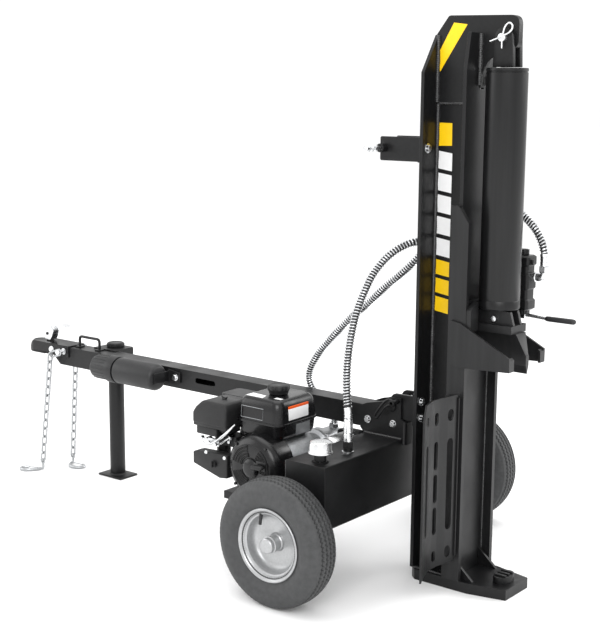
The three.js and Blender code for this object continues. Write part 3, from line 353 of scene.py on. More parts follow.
CHROME = look("hard_chrome", "chrome", (0.86, 0.87, 0.88), 0.09, metal=1.0, spread=0.03, scale=80,
    rough_spread=0.03)
CHAIN_STEEL = look("chain_steel", "zinc", (0.46, 0.47, 0.48), 0.34, metal=1.0, spread=0.2, scale=260,
    bump=0.2, bump_scale=1100)
RIM_PAINT = look("silver_rim_paint", "rim", (0.42, 0.425, 0.43), 0.36, metal=0.75, spread=0.08, scale=140,
    bump=0.15, bump_scale=900)
RUBBER = look("tyre_rubber", "tyre", (0.040, 0.041, 0.042), 0.62, spread=0.2, scale=60, bump=0.3,
    bump_scale=800)
SOFT_RUBBER = look("black_rubber", "hose", (0.010, 0.010, 0.011), 0.55, spread=0.15, scale=200, bump=0.2)
GUARD = look("hose_guard_wire", "hose", (0.62, 0.63, 0.64), 0.28, metal=1.0, spread=0.12, scale=300,
    rough_spread=0.06)
ORANGE = look("orange_plastic", "orange_plastic", (0.80, 0.10, 0.01), 0.38, spread=0.08, bump=0.1)
YELLOW = look("yellow_film", "powder_coat", (0.93, 0.58, 0.0), 0.42, spread=0.03, scale=40,
    rough_spread=0.03)
WHITE = look("white_film", "powder_coat", (0.86, 0.86, 0.86), 0.42, spread=0.03, scale=40,
    rough_spread=0.03)
PLATE_FILM = look("grey_name_plate", "black_plastic", (0.30, 0.31, 0.32), 0.35, metal=0.6, spread=0.05)
# Painted shade: a near-black finish for pieces that stand in for the shade inside openings.
PAINTED_SHADE = look("shadowed_recess", "black_plastic", (0.003, 0.003, 0.003), 0.7, spread=0.2)


# ---- small fittings ---------------------------------------------------------------
def bolt(build, axis, at, radius, direction):
    """A washer and a chamfered hexagon head that stand on a face and point along +axis or -axis."""
    s = 1 if direction > 0 else -1

    def span(a, b):
        return (min(s * a, s * b), max(s * a, s * b))

    build.rod(axis, at, radius * 1.25, *span(-1, 2.2), sides=28, round_by=0.5)
    build.hexagon(axis, at, radius, *span(2, 2 + radius * 0.62))


def weld(name, body, path, radius=4.0, pitch=6.0):
    """A weld bead: a row of overlapping ripples along a line."""
    pts = [Vector(p) for p in path]
    lengths = [(b - a).length for a, b in zip(pts, pts[1:])]
    total = sum(lengths)
    count = max(int(total / (pitch / 4)), 8)
    line = []
    for i in range(count + 1):
        d = total * i / count
        for a, b, length in zip(pts, pts[1:], lengths):
            if d <= length + 1e-6:
                line.append(a + (b - a) * (d / length))
                break
            d -= length
    build = Build()

    def ripple(t):
        return radius * (0.78 + 0.2 * abs(math.sin(math.pi * t * total / pitch))
            + 0.08 * math.sin(t * total * 0.11))

    build.tube(line, ripple, sides=10)
    # Painted highlight: the bead's lighter grey stands in for light caught on its ripples.
    return build.done(name, body, WELD_PAINTED_SHEEN, angle=math.radians(60))


def decal(name, body, corners, film, axis, depth=0.35):
    """A thin film on a flat face: corners are the outline on the face, and axis is (letter, from)."""
    build = Build()
    build.prism(corners, axis[0], axis[1], axis[1] + depth, bevel=0)
    return build.done(name, body, film)


def loft(build, sections, corner=6):
    """A body through stacked rounded rectangles: each section is (z, x0, x1, y0, y1, corner radius)."""
    rows = []
    for z, x0, x1, y0, y1, r in sections:
        row = []
        for cx, cy, start in ((x1 - r, y1 - r, 0), (x0 + r, y1 - r, 90), (x0 + r, y0 + r, 180),
                              (x1 - r, y0 + r, 270)):
            for i in range(corner + 1):
                a = math.radians(start + 90 * i / corner)
                row.append((cx + r * math.cos(a), cy + r * math.sin(a), z))
        rows.append(row)
    n = len(rows[0])
    faces = [tuple(reversed(range(n))), tuple(range((len(rows) - 1) * n, len(rows) * n))]
    for j in range(len(rows) - 1):
        faces += [(j * n + i, j * n + (i + 1) % n, (j + 1) * n + (i + 1) % n, (j + 1) * n + i)
            for i in range(n)]
    return build.faces([p for row in rows for p in row], faces)


# ---- wheels ----------------------------------------------------------------------------
def tyre(side, label):
    node, rim = "tyre_" + label, "rim_" + label
    centre = mid(node)
    radius = (high(node).z - low(node).z) / 2
    half = (high(node).y - low(node).y) / 2
    around, grooves = 616, (-27, -9, 9, 27)
    bead = 103
    wall = [(bead, -half + 15), (bead + 4, -half + 13.6), (118, -half + 13.5), (121, -half + 12),
        (131, -half + 5), (140, -half + 1.6), (142, -half + 0.9), (150, -half + 0.3), (162, -half),
        (172, -half + 1.5), (181, -half + 4.6), (189, -half + 9), (194.5, -half + 13)]
    tread = []
    steps = 60
    edge = half - 14.5
    for i in range(steps + 1):
        y = -edge + 2 * edge * i / steps
        tread.append((radius - 6.5 * abs(y / edge) ** 2.6, y))
    section = wall + tread + [(r, -y) for r, y in reversed(wall)]
    points, faces = [], []
    zig = 88
    for i in range(around):
        a = TAU * i / around
        wave = 2 / math.pi * math.asin(math.sin(zig * a))
        for r, y in section:
            if abs(y) <= edge + 0.01:
                near = min(abs(y - g - 3.0 * wave) for g in grooves)
                r -= 6.5 * max(0.0, min(1.0, (3.6 - near) / 1.4))
                sipe = abs(math.sin(zig * a * 0.5 + 0.12 * y))
                if abs(y) > 30:
                    r -= 1.0 * max(0.0, 1 - sipe * 4)
            elif r > 172:
                r -= 1.9 * max(0.0, math.sin(zig * a + 0.35 * r)) * min(1, (r - 172) / 6)
            points.append((r * math.cos(a), y, r * math.sin(a)))
    m = len(section)
    for i in range(around):
        j = (i + 1) % around
        faces += [(i * m + k, i * m + k + 1, j * m + k + 1, j * m + k) for k in range(m - 1)]
        faces.append((i * m + m - 1, i * m, j * m, j * m + m - 1))
    build = Build()
    build.faces([Vector(p) + centre for p in points], faces)
    build.done(node + "_tread", "wheel_" + label, RUBBER, node, angle=math.radians(50))

    build = Build()
    s = 1 if side > 0 else -1
    lip = 116

    def out(profile):
        return [(r, s * y) for r, y in profile]

    front = [(bead + 1, -10), (bead + 1, 40), (bead + 6, 42), (lip - 2.5, 42.4), (lip, 44), (lip, 46),
        (lip - 2, 47.5), (lip - 6, 46.5), (lip - 9, 44), (104, 40), (101, 36), (99, 33), (94, 31), (92, 27),
        (90, 16), (86, 6), (80, 0), (70, -4), (40, -4), (30, -3), (28, 0), (28, 5), (25, 8), (24.5, 22),
        (24.5, 30), (28, 31.5), (28, 37), (24.5, 38.5), (24.5, 41), (24, 50), (21, 52.5), (12, 53.5),
        (0, 54)]
    build.lathe(out(front), "y", centre, sides=96)
    back = [(bead + 1, 10), (bead + 1, -40), (bead + 6, -42), (lip - 2.5, -42.4), (lip, -44), (lip, -46),
        (lip - 2, -47), (lip - 8, -46), (100, -40), (98, -12), (84, -8), (40, -8), (27, -10), (27, -45),
        (17, -45), (17, -20), (0, -20)]
    build.lathe(out(back), "y", centre, sides=96)
    build.done(rim + "_dish", "wheel_" + label, RIM_PAINT, rim)
    build = Build()
    stem = [(38.5 * s, 27 * s, 91), (36.6 * s, 30 * s, 86), (34 * s, 35 * s, 77), (31 * s, 40.5 * s, 67)]
    build.tube([centre + Vector(p) for p in spline(stem, 5)], lambda t: 6.4 - 2.0 * t, sides=14)
    build.tube([centre + Vector((32 * s, 39 * s, 70)), centre + Vector((29 * s, 44 * s, 61))], 5.0,
        sides=14)
    build.done("valve_stem_" + label, "wheel_" + label, SOFT_RUBBER)


# ---- engine ----------------------------------------------------------------------------
def fuel_tank():
    a, b = low("fuel_tank"), high("fuel_tank")
    x0, x1, y0, y1 = a.x + 4, b.x - 4, a.y + 4, b.y - 4
    seam = a.z + 50

    def row(z, inset, r):
        return (z, x0 + inset, x1 - inset, y0 + inset, y1 - inset, r)

    build = Build()
    loft(build, [row(a.z, 18, 18), row(a.z + 2, 11, 22), row(a.z + 7, 7, 26), row(a.z + 16, 4, 28),
        row(seam - 3, 1, 30), row(seam - 1, 0, 30), row(seam - 0.6, -3.4, 32), row(seam + 0.6, -4, 32),
        row(seam + 5.4, -4, 32), row(seam + 6.6, -3.4, 32), row(seam + 7, 0, 30), row(seam + 12, 0.4, 30),
        row(a.z + 92, 2.4, 30), row(a.z + 110, 4.4, 30), row(a.z + 120, 7.6, 29), row(a.z + 126, 11.4, 27),
        row(a.z + 130, 16, 25), row(a.z + 131.7, 20.6, 22), row(a.z + 132, 26, 20)], corner=8)
    cap = mid("fuel_cap")
    build.lathe([(0, a.z + 120), (34, a.z + 120), (34, a.z + 131), (31, a.z + 133), (27, a.z + 134),
        (27, b.z), (0, b.z)], "z", (cap.x, cap.y, 0), sides=48)
    build.done("fuel_tank_shell", "chassis", ENAMEL, "fuel_tank")
    top = a.z + 131.8
    decal("tank_top_film", "chassis", [(x0 + 24, y0 + 24), (cap.x - 4, y0 + 24), (cap.x - 14, y0 + 56),
        (x0 + 24, y0 + 62)], WHITE, ("z", top))
    decal("tank_top_film_side", "chassis", [(cap.x + 30, y0 + 40), (x1 - 26, y0 + 40), (x1 - 26, y0 + 56),
        (cap.x + 30, y0 + 56)], WHITE, ("z", top))
    build = Build()
    frame_line = [(-321, y0 + 0.6, 506), (-229, y0 + 0.6, 506), (-229, y0 + 3.6, 543),
        (-321, y0 + 3.6, 543)]
    build.tube(frame_line, 1.3, sides=8, closed=True)
    build.done("tank_name_frame", "chassis", PLATE_FILM)
    for name, film, w0, w1 in (("tank_side_film", WHITE, 506, 544), ("tank_side_strip", ORANGE, 544, 552)):
        build = Build()
        build.box(x1 - 4.4, x1 - 0.2, -290, -188, w0, w1, bevel=0.3)
        build.done(name, "chassis", film)
    build = Build()
    build.box(x1 - 6, x1 - 1.2, -250, -178, 450, 487, bevel=0.3)
    build.done("tank_lower_film", "chassis", PLATE_FILM)
    build = Build()
    c = (cap.x, cap.y)
    z0, z1 = low("fuel_cap").z, high("fuel_cap").z
    lobes, sides = 8, 128
    rings = [(0, z0, 0), (32, z0, 0), (33, z0 + 6, 0), (35, z0 + 12, 0.6), (36, z0 + 14, 1),
        (36.4, z1 - 7, 1), (35, z1 - 3, 1), (31, z1 - 1, 0.9), (25, z1, 0.6), (22, z1 - 1.6, 0),
        (0, z1 - 1.6, 0)]
    points, faces = [], []
    for r, z, lobe in rings:
        for i in range(sides):
            t = TAU * i / sides
            wave = 3.2 * lobe * (abs(math.cos(lobes * t / 2)) ** 0.5 - 0.6)
            points.append((c[0] + (r + wave) * math.cos(t) if r else c[0],
                c[1] + (r + wave) * math.sin(t) if r else c[1], z))
    for j in range(len(rings) - 1):
        faces += [(j * sides + i, j * sides + (i + 1) % sides, (j + 1) * sides + (i + 1) % sides,
            (j + 1) * sides + i) for i in range(sides)]
    build.faces(points, faces)
    bmesh.ops.remove_doubles(build.bm, verts=build.bm.verts, dist=0.001)
    build.done("fuel_cap_grip", "fuel_cap", PLASTIC, "fuel_cap")


def recoil():
    a, b = low("blower_housing"), high("blower_housing")
    grip = mid("recoil_grip")
    radius = (b.x - a.x) / 2
    cx, cz, y = (a.x + b.x) / 2, a.z + radius, a.y + 12
    build = Build()
    build.lathe([(radius, y + 96), (radius, y + 34), (radius - 1, y + 26), (radius - 5, y + 14),
        (radius - 13, y + 6), (radius - 22, y + 2), (radius - 26, y), (radius - 26, y + 3),
        (radius - 22, y + 7), (radius - 10, y + 16), (radius - 5, y + 30), (radius - 5, y + 96),
        (radius, y + 96)], "y", (cx, 0, cz), sides=96)
    build.lathe([(0, y - 11.5), (18, y - 11), (27, y - 8), (32, y - 3), (33, y + 2), (33, y + 8),
        (0, y + 8)], "y", (cx, 0, cz), sides=64)
    build.lathe([(33, y + 1), (56, y - 2), (70, y - 1.4), (radius - 24, y + 1), (radius - 24, y + 8),
        (33, y + 8), (33, y + 1)], "y", (cx, 0, cz), sides=96)
    build.prism([(cx - 60, cz + 60), (cx + 62, cz + 60), (cx + 76, b.z - 26), (cx + 40, b.z - 1),
        (cx - 70, b.z - 1), (cx - 102, cz + 60)], "y", y + 34, b.y, bevel=6, steps=3)
    build.box(grip.x - 21, grip.x + 21, y - 6, y + 20, grip.z - 16, grip.z + 16, bevel=4, steps=3)
    for t in (0.9, 2.3, 3.9, 5.3):
        u, v = cx + (radius - 12) * math.cos(t), cz + (radius - 12) * math.sin(t)
        build.rod("y", (u, 0, v), 5, y + 1, y + 8)
    build.done("recoil_cover", "chassis", ENAMEL, "blower_housing")
    # Painted shade: dark tubes along the vent arcs stand in for the shade inside the recoil cover's slots.
    build = Build()
    arcs = [(r, start, end) for start, end in ((-12, 62), (100, 172), (196, 258)) for r in (40, 50, 60, 70)]
    for r, start, end in arcs:
        path = [(cx + r * math.cos(math.radians(t)), y - 1.2, cz + r * math.sin(math.radians(t)))
            for t in range(start, end, 4)]
        build.tube(path, 2.8, sides=8)
    build.done("recoil_slot_painted_shade", "chassis", PAINTED_SHADE)
    build = Build()
    for r, start, end in arcs:
        path = [(cx + (r + 5) * math.cos(math.radians(t)), y - 2.6,
            cz + (r + 5) * math.sin(math.radians(t))) for t in range(start, end, 4)]
        build.tube(path, 1.8, sides=8)
    build.done("recoil_ribs", "chassis", ENAMEL)
    build = Build()
    g0, g1 = low("recoil_grip"), high("recoil_grip")
    loft_points = [(g0.x, grip.z), (g0.x + 6, grip.z + 7), (g1.x - 6, grip.z + 7), (g1.x, grip.z),
        (g1.x - 6, grip.z - 7), (g0.x + 6, grip.z - 7)]
    build.prism(loft_points, "y", g0.y, g0.y + 18, bevel=3.4, steps=4)
    build.rod("y", (grip.x, 0, grip.z), 3.2, g0.y + 12, g1.y)
    build.done("recoil_handle", "recoil_grip", PLASTIC, "recoil_grip")


def air_cleaner():
    a, b = low("air_cleaner"), high("air_cleaner")
    seam = a.z + 38
    build = Build()
    build.prism([(a.x, seam), (b.x - 2, seam), (b.x, b.z - 22), (b.x - 10, b.z), (a.x + 45, b.z),
        (a.x + 14, b.z - 26), (a.x, seam + 38)], "y", a.y, b.y, bevel=9, steps=5)
    build.box(a.x + 3, b.x - 4, a.y + 3, b.y - 3, seam - 8, seam + 10, bevel=3)
    build.box(a.x + 9, a.x + 101, a.y + 10, b.y - 10, a.z, seam - 6, bevel=6, steps=3)
    build.box(a.x + 100, b.x - 6, a.y + 22, b.y - 42, a.z + 16, seam - 4, bevel=5, steps=3)
    build.done("air_cleaner_cover", "chassis", PLASTIC, "air_cleaner")
    build = Build()
    knob = (a.x + 92, a.y + 62, 0)
    build.rod("z", knob, 9, b.z - 4, b.z + 3)
    build.rod("z", knob, 3, b.z, b.z + 7)
    for s in (-1, 1):
        build.tube(spline([(knob[0], knob[1], b.z + 4), (knob[0] + s * 8, knob[1], b.z + 5.5),
            (knob[0] + s * 12, knob[1], b.z + 8)], 4), 2.6, sides=10)
    build.done("air_cleaner_wing_nut", "chassis", PLASTIC)


def engine():
    fuel_tank()
    recoil()
    air_cleaner()
    fine("engine_block", ALLOY, bevel=1.5)
    fine("carburettor", PAINT, bevel=1.5)
    build = Build()
    c0, c1 = low("control_box"), high("control_box")
    build.prism([(c0.x, 324), (c0.x, 364), (c0.x + 18, 370), (c1.x - 4, 376), (c1.x - 4, c0.z + 4),
        (c1.x - 38, c0.z)], "y", c0.y, c1.y, bevel=4, steps=3)
    build.box(c1.x - 6, -341, c1.y - 26, c1.y - 8, 330, 352, bevel=2)
    build.done("control_box_cover", "chassis", PLASTIC, "control_box")
    fine("muffler", PAINT, bevel=3, steps=3)
    fine("engine_mount", PAINT, bevel=1.5)
    fine("throttle_lever", ZINC, bevel=0.6)
    fine("choke_lever", PLASTIC, bevel=0.6)
    fine("engine_switch", PLASTIC, bevel=0.8)
    a, b = low("dipstick"), high("dipstick")
    c = (a + b) / 2
    build = Build()
    build.lathe([(0, a.z), (12.4, a.z), (12.8, a.z + 3), (12.4, a.z + 7), (10, a.z + 9), (0, a.z + 9)], "z",
        (c.x, c.y, 0), sides=40)
    build.prism([(c.x - 13, a.z + 7), (c.x + 13, a.z + 7), (c.x + 15, b.z - 5), (c.x + 9, b.z),
        (c.x - 9, b.z), (c.x - 15, b.z - 5)], "y", c.y - 3.4, c.y + 3.4, bevel=2, steps=3)
    build.done("dipstick_grip", "dipstick", ORANGE, "dipstick")
    cb = high("control_box")
    build = Build()
    rods = [[(-470, -372, 400), (-440, -376, 396), (-404, -380, 412), (-368, -378, 440), (-336, -362, 474)],
        [(-462, -366, 410), (-420, -370, 412), (-384, -374, 424), (-352, -372, 452), (-334, -358, 478)],
        [(-404, -352, 398), (-380, -358, 414), (-356, -356, 432)]]
    for points in rods:
        build.tube(spline(points, 6), 3.2, sides=10)
    for x, y, z in ((-470, -374, 414), (-432, -378, 404), (-404, -378, 402)):
        build.rod("y", (x, 0, z), 6, y - 4, y + 10)
    build.box(-446, -398, -368, -364, 392, 416, bevel=1)
    build.done("governor_links", "chassis", ZINC)
    build = Build()
    bolt(build, "y", (cb.x - 96, low("control_box").y, 372), 5, -1)
    bolt(build, "y", (cb.x - 14, low("control_box").y, 366), 5, -1)
    build.done("control_box_screws", "chassis", ZINC)


def pump_group():
    a, b = low("pump"), high("pump")
    cx, cz = -235, 356
    build = Build()
    build.lathe([(0, a.y), (64, a.y), (64, a.y + 8), (60, a.y + 12), (49, a.y + 20), (47, a.y + 60),
        (50, a.y + 76), (60, a.y + 86), (60, a.y + 97), (0, a.y + 97)], "y", (cx, 0, cz), sides=64)
    build.box(cx - 50, cx + 50, a.y + 97, 22, cz - 48, cz + 48, bevel=9, steps=4)
    build.box(cx - 42, cx + 42, 21, b.y, cz - 42, cz + 42, bevel=12, steps=4)
    build.rod("z", (cx, 54, 0), 16, cz + 38, b.z - 14)
    build.rod("x", (0, 50, cz), 19, cx + 38, b.x)
    for u in (-36, 36):
        for v in (-36, 36):
            bolt(build, "y", (cx + u, b.y, cz + v), 6, 1)
    build.done("pump_casting", "chassis", ALLOY, "pump")
    build = Build()
    build.hexagon("z", (cx, 54, 0), 18.5, b.z - 18, b.z - 2)
    build.rod("z", (cx, 54, 0), 13, b.z - 4, b.z + 40)
    build.done("pump_outlet_fitting", "chassis", ZINC)
    a, b = low("oil_filter"), high("oil_filter")
    c = (a + b) / 2
    r = (b.x - a.x) / 2
    build = Build()
    build.lathe([(0, a.y), (r - 14, a.y), (r - 6, a.y + 2), (r - 1, a.y + 8), (r, a.y + 14), (r, b.y - 14),
        (r - 1, b.y - 12), (r - 1, b.y - 8), (r, b.y - 6), (r - 1, b.y), (0, b.y)], "y", (c.x, 0, c.z),
        sides=72)
    build.done("oil_filter_can", "chassis", CAN_STEEL, "oil_filter")
    fine("filter_head", PAINT, bevel=3, steps=3)


# ---- tank top and pivot --------------------------------------------------------------------
def tank_group():
    fine("tank", PAINT, bevel=2.0, steps=3)
    a = low("tank")
    top = 440
    weld("tank_weld_near", "chassis", [(a.x + 2, a.y + 1, 240), (a.x + 2, a.y + 1, top - 3)], radius=2.2)
    cap = mid("filler_cap")
    build = Build()
    base = top + 26.4
    build.lathe([(0, top + 8.2), (11.6, top + 8.2), (11.6, base), (30, base), (37, base + 0.6),
        (39, base + 2.4), (39, base + 4.6), (38, base + 6), (36, base + 8), (35.6, base + 12),
        (35.2, base + 30), (34, base + 34), (31, base + 37.2), (25, base + 38.8), (0, base + 39.6)], "z",
        (cap.x, cap.y, 0), sides=96)
    build.done("filler_cap_dome", "filler_cap", CAN_STEEL, "filler_cap")
    build = Build()
    build.lathe([(19.6, top), (27, top), (27, top + 3), (21, top + 4.4), (19.6, top + 4.4), (19.6, top)],
        "z", (cap.x, cap.y, 0), sides=48)
    for i in range(5):
        t = TAU * i / 5 + 0.3
        build.rod("z", (cap.x + 24 * math.cos(t), cap.y + 24 * math.sin(t), 0), 2.6, top + 3, top + 5.4,
            sides=14)
    build.done("filler_flange", "chassis", PAINT)
    f = mid("return_fitting")
    build = Build()
    build.lathe([(0, top + 0.4), (19, top + 0.4), (19, top + 3), (14, top + 4), (0, top + 4)], "z",
        (f.x, f.y, 0))
    build.rod("z", (f.x, f.y, 0), 14.4, top + 34, top + 40)
    build.lathe([(0, top + 36), (14, top + 36), (14.6, top + 40), (14.6, top + 58), (13, top + 62),
        (14.8, top + 64), (14.8, top + 92), (13.6, top + 104.4), (0, top + 104.4)], "z", (f.x, f.y, 0))
    build.done("return_ferrule", "chassis", ZINC)
    build = Build()
    build.lathe([(0, top + 3), (15, top + 3), (15, top + 14), (0, top + 14)], "z", (f.x, f.y, 0))
    build.hexagon("z", (f.x, f.y, 0), 17, top + 13, top + 36)
    build.done("return_adaptor", "chassis", PAINT, "return_fitting")


def pivot_group():
    fine("pivot_frame", PAINT, bevel=1.6, steps=3)
    fine("pivot_bracket", PAINT, bevel=1.6, steps=3)
    f0, f1 = low("pivot_frame"), high("pivot_frame")
    cheek = 46.3
    build = Build()
    for x in (-20, 82):
        for s in (-1, 1):
            bolt(build, "y", (x, s * cheek, 488), 10.5, s)
    build.done("pivot_frame_bolts", "chassis", ZINC)
    for s, label in ((-1, "near"), (1, "far")):
        weld(f"pivot_weld_{label}", "chassis", [(f0.x + 18, s * (cheek + 1.5), 442),
            (f1.x - 14, s * (cheek + 1.5), 442)], 4.5)
    pin = mid("pivot_pin")
    y = high("pivot_pin").y
    build = Build()
    build.rod("y", (pin.x, 0, pin.z), 12, -y + 4, y - 4, sides=48)
    for s in (-1, 1):
        ends = sorted((s * (y - 6), s * y))
        build.rod("y", (pin.x, 0, pin.z), 17, *ends, sides=48, round_by=2)
    build.done("pivot_pin_turned", "chassis", PAINT, "pivot_pin")
    a, b = low("upright_lock_pin"), high("upright_lock_pin")
    x, z, plane = 98, 566, a.y + 4
    build = Build()
    build.rod("y", (x, 0, z), 7, a.y, b.y, sides=32, round_by=2)
    build.rod("y", (x, 0, z), 11, a.y, a.y + 8, sides=32, round_by=1.5)
    y = plane
    ring = [(x + 2, y, z + 8), (x - 16, y, z + 9), (x - 34, y, z - 6), (x - 62, y, z - 44),
        (x - 66, y, z - 56), (x - 58, y, z - 58), (x - 48, y, z - 46), (x - 24, y, z - 16),
        (x - 6, y, z - 6), (x + 4, y, z - 4)]
    build.tube(spline(ring, 6), 3.8, sides=14)
    build.done("lock_pin_loop", "lock_pin", PAINT, "upright_lock_pin")
    for node in ("spindle_near", "spindle_far"):
        fine(node, ZINC, bevel=1)


# ---- tongue --------------------------------------------------------------------------------
def tongue_group():
    fine("tongue", PAINT, bevel=3.2, steps=3)
    fine("coupler", PAINT, bevel=2.0, steps=3)
    fine("coupler_latch", ZINC, bevel=1.4, steps=3)
    fine("stand_bracket", PAINT, bevel=2.0, steps=3)
    fine("canister_bracket", PAINT, bevel=1.5)
    z = mid("coupler_bolt_front").z
    for node, reach in (("coupler_bolt_front", 46), ("coupler_bolt_rear", 75)):
        x = mid(node).x
        build = Build()
        build.rod("y", (x, 0, z), 5, -reach, reach, sides=24)
        for s in (-1, 1):
            ends = sorted((s * 43.9, s * 46.9))
            build.rod("y", (x, 0, z), 13, *ends, sides=40, round_by=0.6)
            ends = sorted((s * reach, s * (reach + 6.6)))
            build.hexagon("y", (x, 0, z), 11, *ends)
        build.done(node + "_turned", "chassis", ZINC, node)
    a, b = low("tongue_handle"), high("tongue_handle")
    build = Build()
    left, right, top = a.x + 12, b.x - 12, b.z - 6
    arch = [(left, 0, a.z + 4), (left, 0, a.z + 22), (left, 0, top - 12), (left + 3, 0, top - 3.5),
        (left + 12, 0, top), (left + 30, 0, top), (right - 30, 0, top), (right - 12, 0, top),
        (right - 3, 0, top - 3.5), (right, 0, top - 12), (right, 0, a.z + 22), (right, 0, a.z + 4)]
    build.tube(spline(arch, 6), 5.4, sides=20)
    for x in (left, right):
        build.box(x - 12, x + 12, -16, 16, a.z, a.z + 5, bevel=1.5)
    build.done("tongue_handle_bar", "chassis", PAINT, "tongue_handle")
    a, b = low("stand_leg"), high("stand_leg")
    c = (a + b) / 2
    build = Build()
    build.rod("z", (c.x, c.y, 0), 31, a.z + 6, b.z - 15, sides=72)
    build.lathe([(0, b.z - 17.6), (34, b.z - 17.6), (35, b.z - 16.4), (35, b.z - 7), (34, b.z - 3),
        (31, b.z - 0.6), (27, b.z), (25, b.z - 1.6), (0, b.z - 1.6)], "z", (c.x, c.y, 0), sides=72)
    for i in range(24):
        t = TAU * i / 24
        build.rod("z", (c.x + 34.4 * math.cos(t), c.y + 34.4 * math.sin(t), 0), 1.5, b.z - 16.4, b.z - 5,
            sides=8)
    build.box(a.x, b.x, a.y, b.y, 0, 8, bevel=1.8)
    build.lathe([(30, 7), (36, 7), (34.5, 10), (31, 13), (30, 13), (30, 7)], "z", (c.x, c.y, 0), sides=60)
    build.done("stand_leg_tube", "stand", PAINT, "stand_leg")
    canister()
    for side, label in ((-1, "near"), (1, "far")):
        chain(side, label)


def canister():
    a, b = low("canister"), high("canister")
    c = (a + b) / 2
    r = (b.z - a.z) / 2
    build = Build()
    build.lathe([(0, b.x), (36, b.x), (42, b.x - 2), (r - 3, b.x - 7), (r, b.x - 14), (r, a.x + 48),
        (r - 2, a.x + 46), (r - 6, a.x + 40), (r - 6, a.x), (r - 10, a.x), (r - 10, b.x - 10),
        (0, b.x - 10)], "x", (0, c.y, c.z), sides=96)
    build.done("canister_tube", "chassis", CAN_PLASTIC, "canister")
    a, b = low("canister_cap"), high("canister_cap")
    build = Build()
    ring = b.x - 42
    build.lathe([(0, a.x + 2), (30, a.x + 2), (34, a.x), (39, a.x + 1), (43, a.x + 5), (45.6, a.x + 12),
        (45.6, ring), (50, ring + 1), (52, ring + 3), (52, b.x - 2), (51, b.x), (r - 5.2, b.x),
        (r - 5.2, ring + 3), (40, ring + 3), (40, a.x + 20), (0, a.x + 8)], "x", (0, c.y, c.z), sides=96)
    for i in range(20):
        t = TAU * i / 20
        at = (0, c.y + 45 * math.cos(t), c.z + 45 * math.sin(t))
        build.rod("x", at, 2.2, a.x + 10, ring + 1, sides=10)
    build.done("canister_cap_ribbed", "canister_cap", CAN_PLASTIC, "canister_cap")
    build = Build()
    bolt(build, "y", (-905, -46, 500), 10.5, -1)
    build.done("canister_bolt", "chassis", ZINC)


def chain_link(build, centre, run, wide, half, width, wire):
    path = []
    for k in range(28):
        t = TAU * k / 28
        shift = (half - width) * (1 if math.cos(t) >= 0 else -1)
        path.append(centre + run * (shift + width * math.cos(t)) + wide * (width * math.sin(t)))
    build.tube(path, wire, sides=12, closed=True)


def chain(side, label):
    """A shackle on the coupler bolt, a slanting run of links and a hook that lies on the ground."""
    pitch, count, y = 36, 13, side * 69
    pin = Vector((mid("coupler_bolt_rear").x, y, mid("coupler_bolt_rear").z))
    drop = pin + Vector((-54, 0, -18))
    foot = Vector((-1652 if side < 0 else -1622, y, 30))
    across = Vector((0, 1, 0))
    lean = (drop - pin).normalized()
    run = (foot - drop).normalized()
    flat = run.cross(across).normalized()
    build = Build()
    chain_link(build, pin + lean * 23, lean, lean.cross(across), 33, 11, 4)
    for i in range(count):
        chain_link(build, drop + run * (12 + i * pitch), run, across if i % 2 == 0 else flat, 21.5, 10.2,
            3.9)
    last = drop + run * (12 + (count - 0.4) * pitch)
    toes = [(-6, -14), (-34, -58), (-62, -64), (-74, -44), (-60, -24)] if side < 0 else [(4, -14),
        (34, -44), (72, -40), (84, -14), (62, 0)]
    path = [last, Vector((foot.x, foot.y, 8))] + [Vector((foot.x + x, foot.y + dy, 7)) for x, dy in toes]
    line = spline(path, 6)
    build.tube(line, lambda t: 6.5 if t > 0.3 else 5.0, sides=16)
    eye = last - run * 2
    build.tube([eye + run * (9 * math.cos(TAU * k / 20)) + flat * (9 * math.sin(TAU * k / 20))
        for k in range(20)], 3.6, sides=10, closed=True)
    start, end = line[len(line) // 3], line[-1]
    rise = Vector((0, 0, 3))
    build.tube(spline([start + rise, (start + end) / 2 + rise, end], 5), 2.2, sides=8)
    build.done(f"chain_{label}_links", f"chain_{label}", CHAIN_STEEL, f"chain_{label}")


# ---- beam ------------------------------------------------------------------------------------
def beam_group():
    for node in ("beam", "top_plate", "foot_plate", "log_cradle", "travel_bracket"):
        fine(node, PAINT, bevel=1.6, steps=3)
    for node in ("rail_near", "rail_far"):
        fine(node, PAINT_SOFT, bevel=1.6, steps=3)
    fine("wedge", PAINT_SOFT, bevel=1.8, steps=3)
    x0, x1, flange = low("beam").x, high("beam").x, 12
    build = Build()
    for z in (530, 584, 1390):
        for y in (-60, 60):
            bolt(build, "x", (x0 + flange, y, z), 12, 1)
    build.done("beam_bolts", "beam", ZINC)
    web = 5
    for s, label in ((-1, "near"), (1, "far")):
        weld(f"web_weld_back_{label}", "beam", [(x0 + flange + 1, s * (web + 1.5), 40),
            (x0 + flange + 1, s * (web + 1.5), 1526)], 7)
        weld(f"web_weld_front_{label}", "beam", [(x1 - flange - 1, s * (web + 1.5), 40),
            (x1 - flange - 1, s * (web + 1.5), 1526)], 6)
        weld(f"plate_weld_back_{label}", "beam", [(x0 + flange + 1, s * 14, 1530),
            (x0 + flange + 1, s * 14, 1733)], 7.5)
        weld(f"plate_weld_front_{label}", "beam", [(x1 + 1, s * 14, 1582), (x1 + 1, s * 14, 1736)], 8.5)
        weld(f"plate_weld_joint_{label}", "beam", [(x0 + flange + 4, s * 10, 1528),
            (x1 - flange - 4, s * 10, 1528)], 4.4)
        weld(f"rail_weld_{label}", "beam", [(x1 + 1, s * 87, 40), (x1 + 1, s * 87, 1180)], 3)
        weld(f"foot_weld_{label}", "beam", [(x0 + 14, s * 86, 36), (x1 - 2, s * 86, 36)], 4)
    stripes()


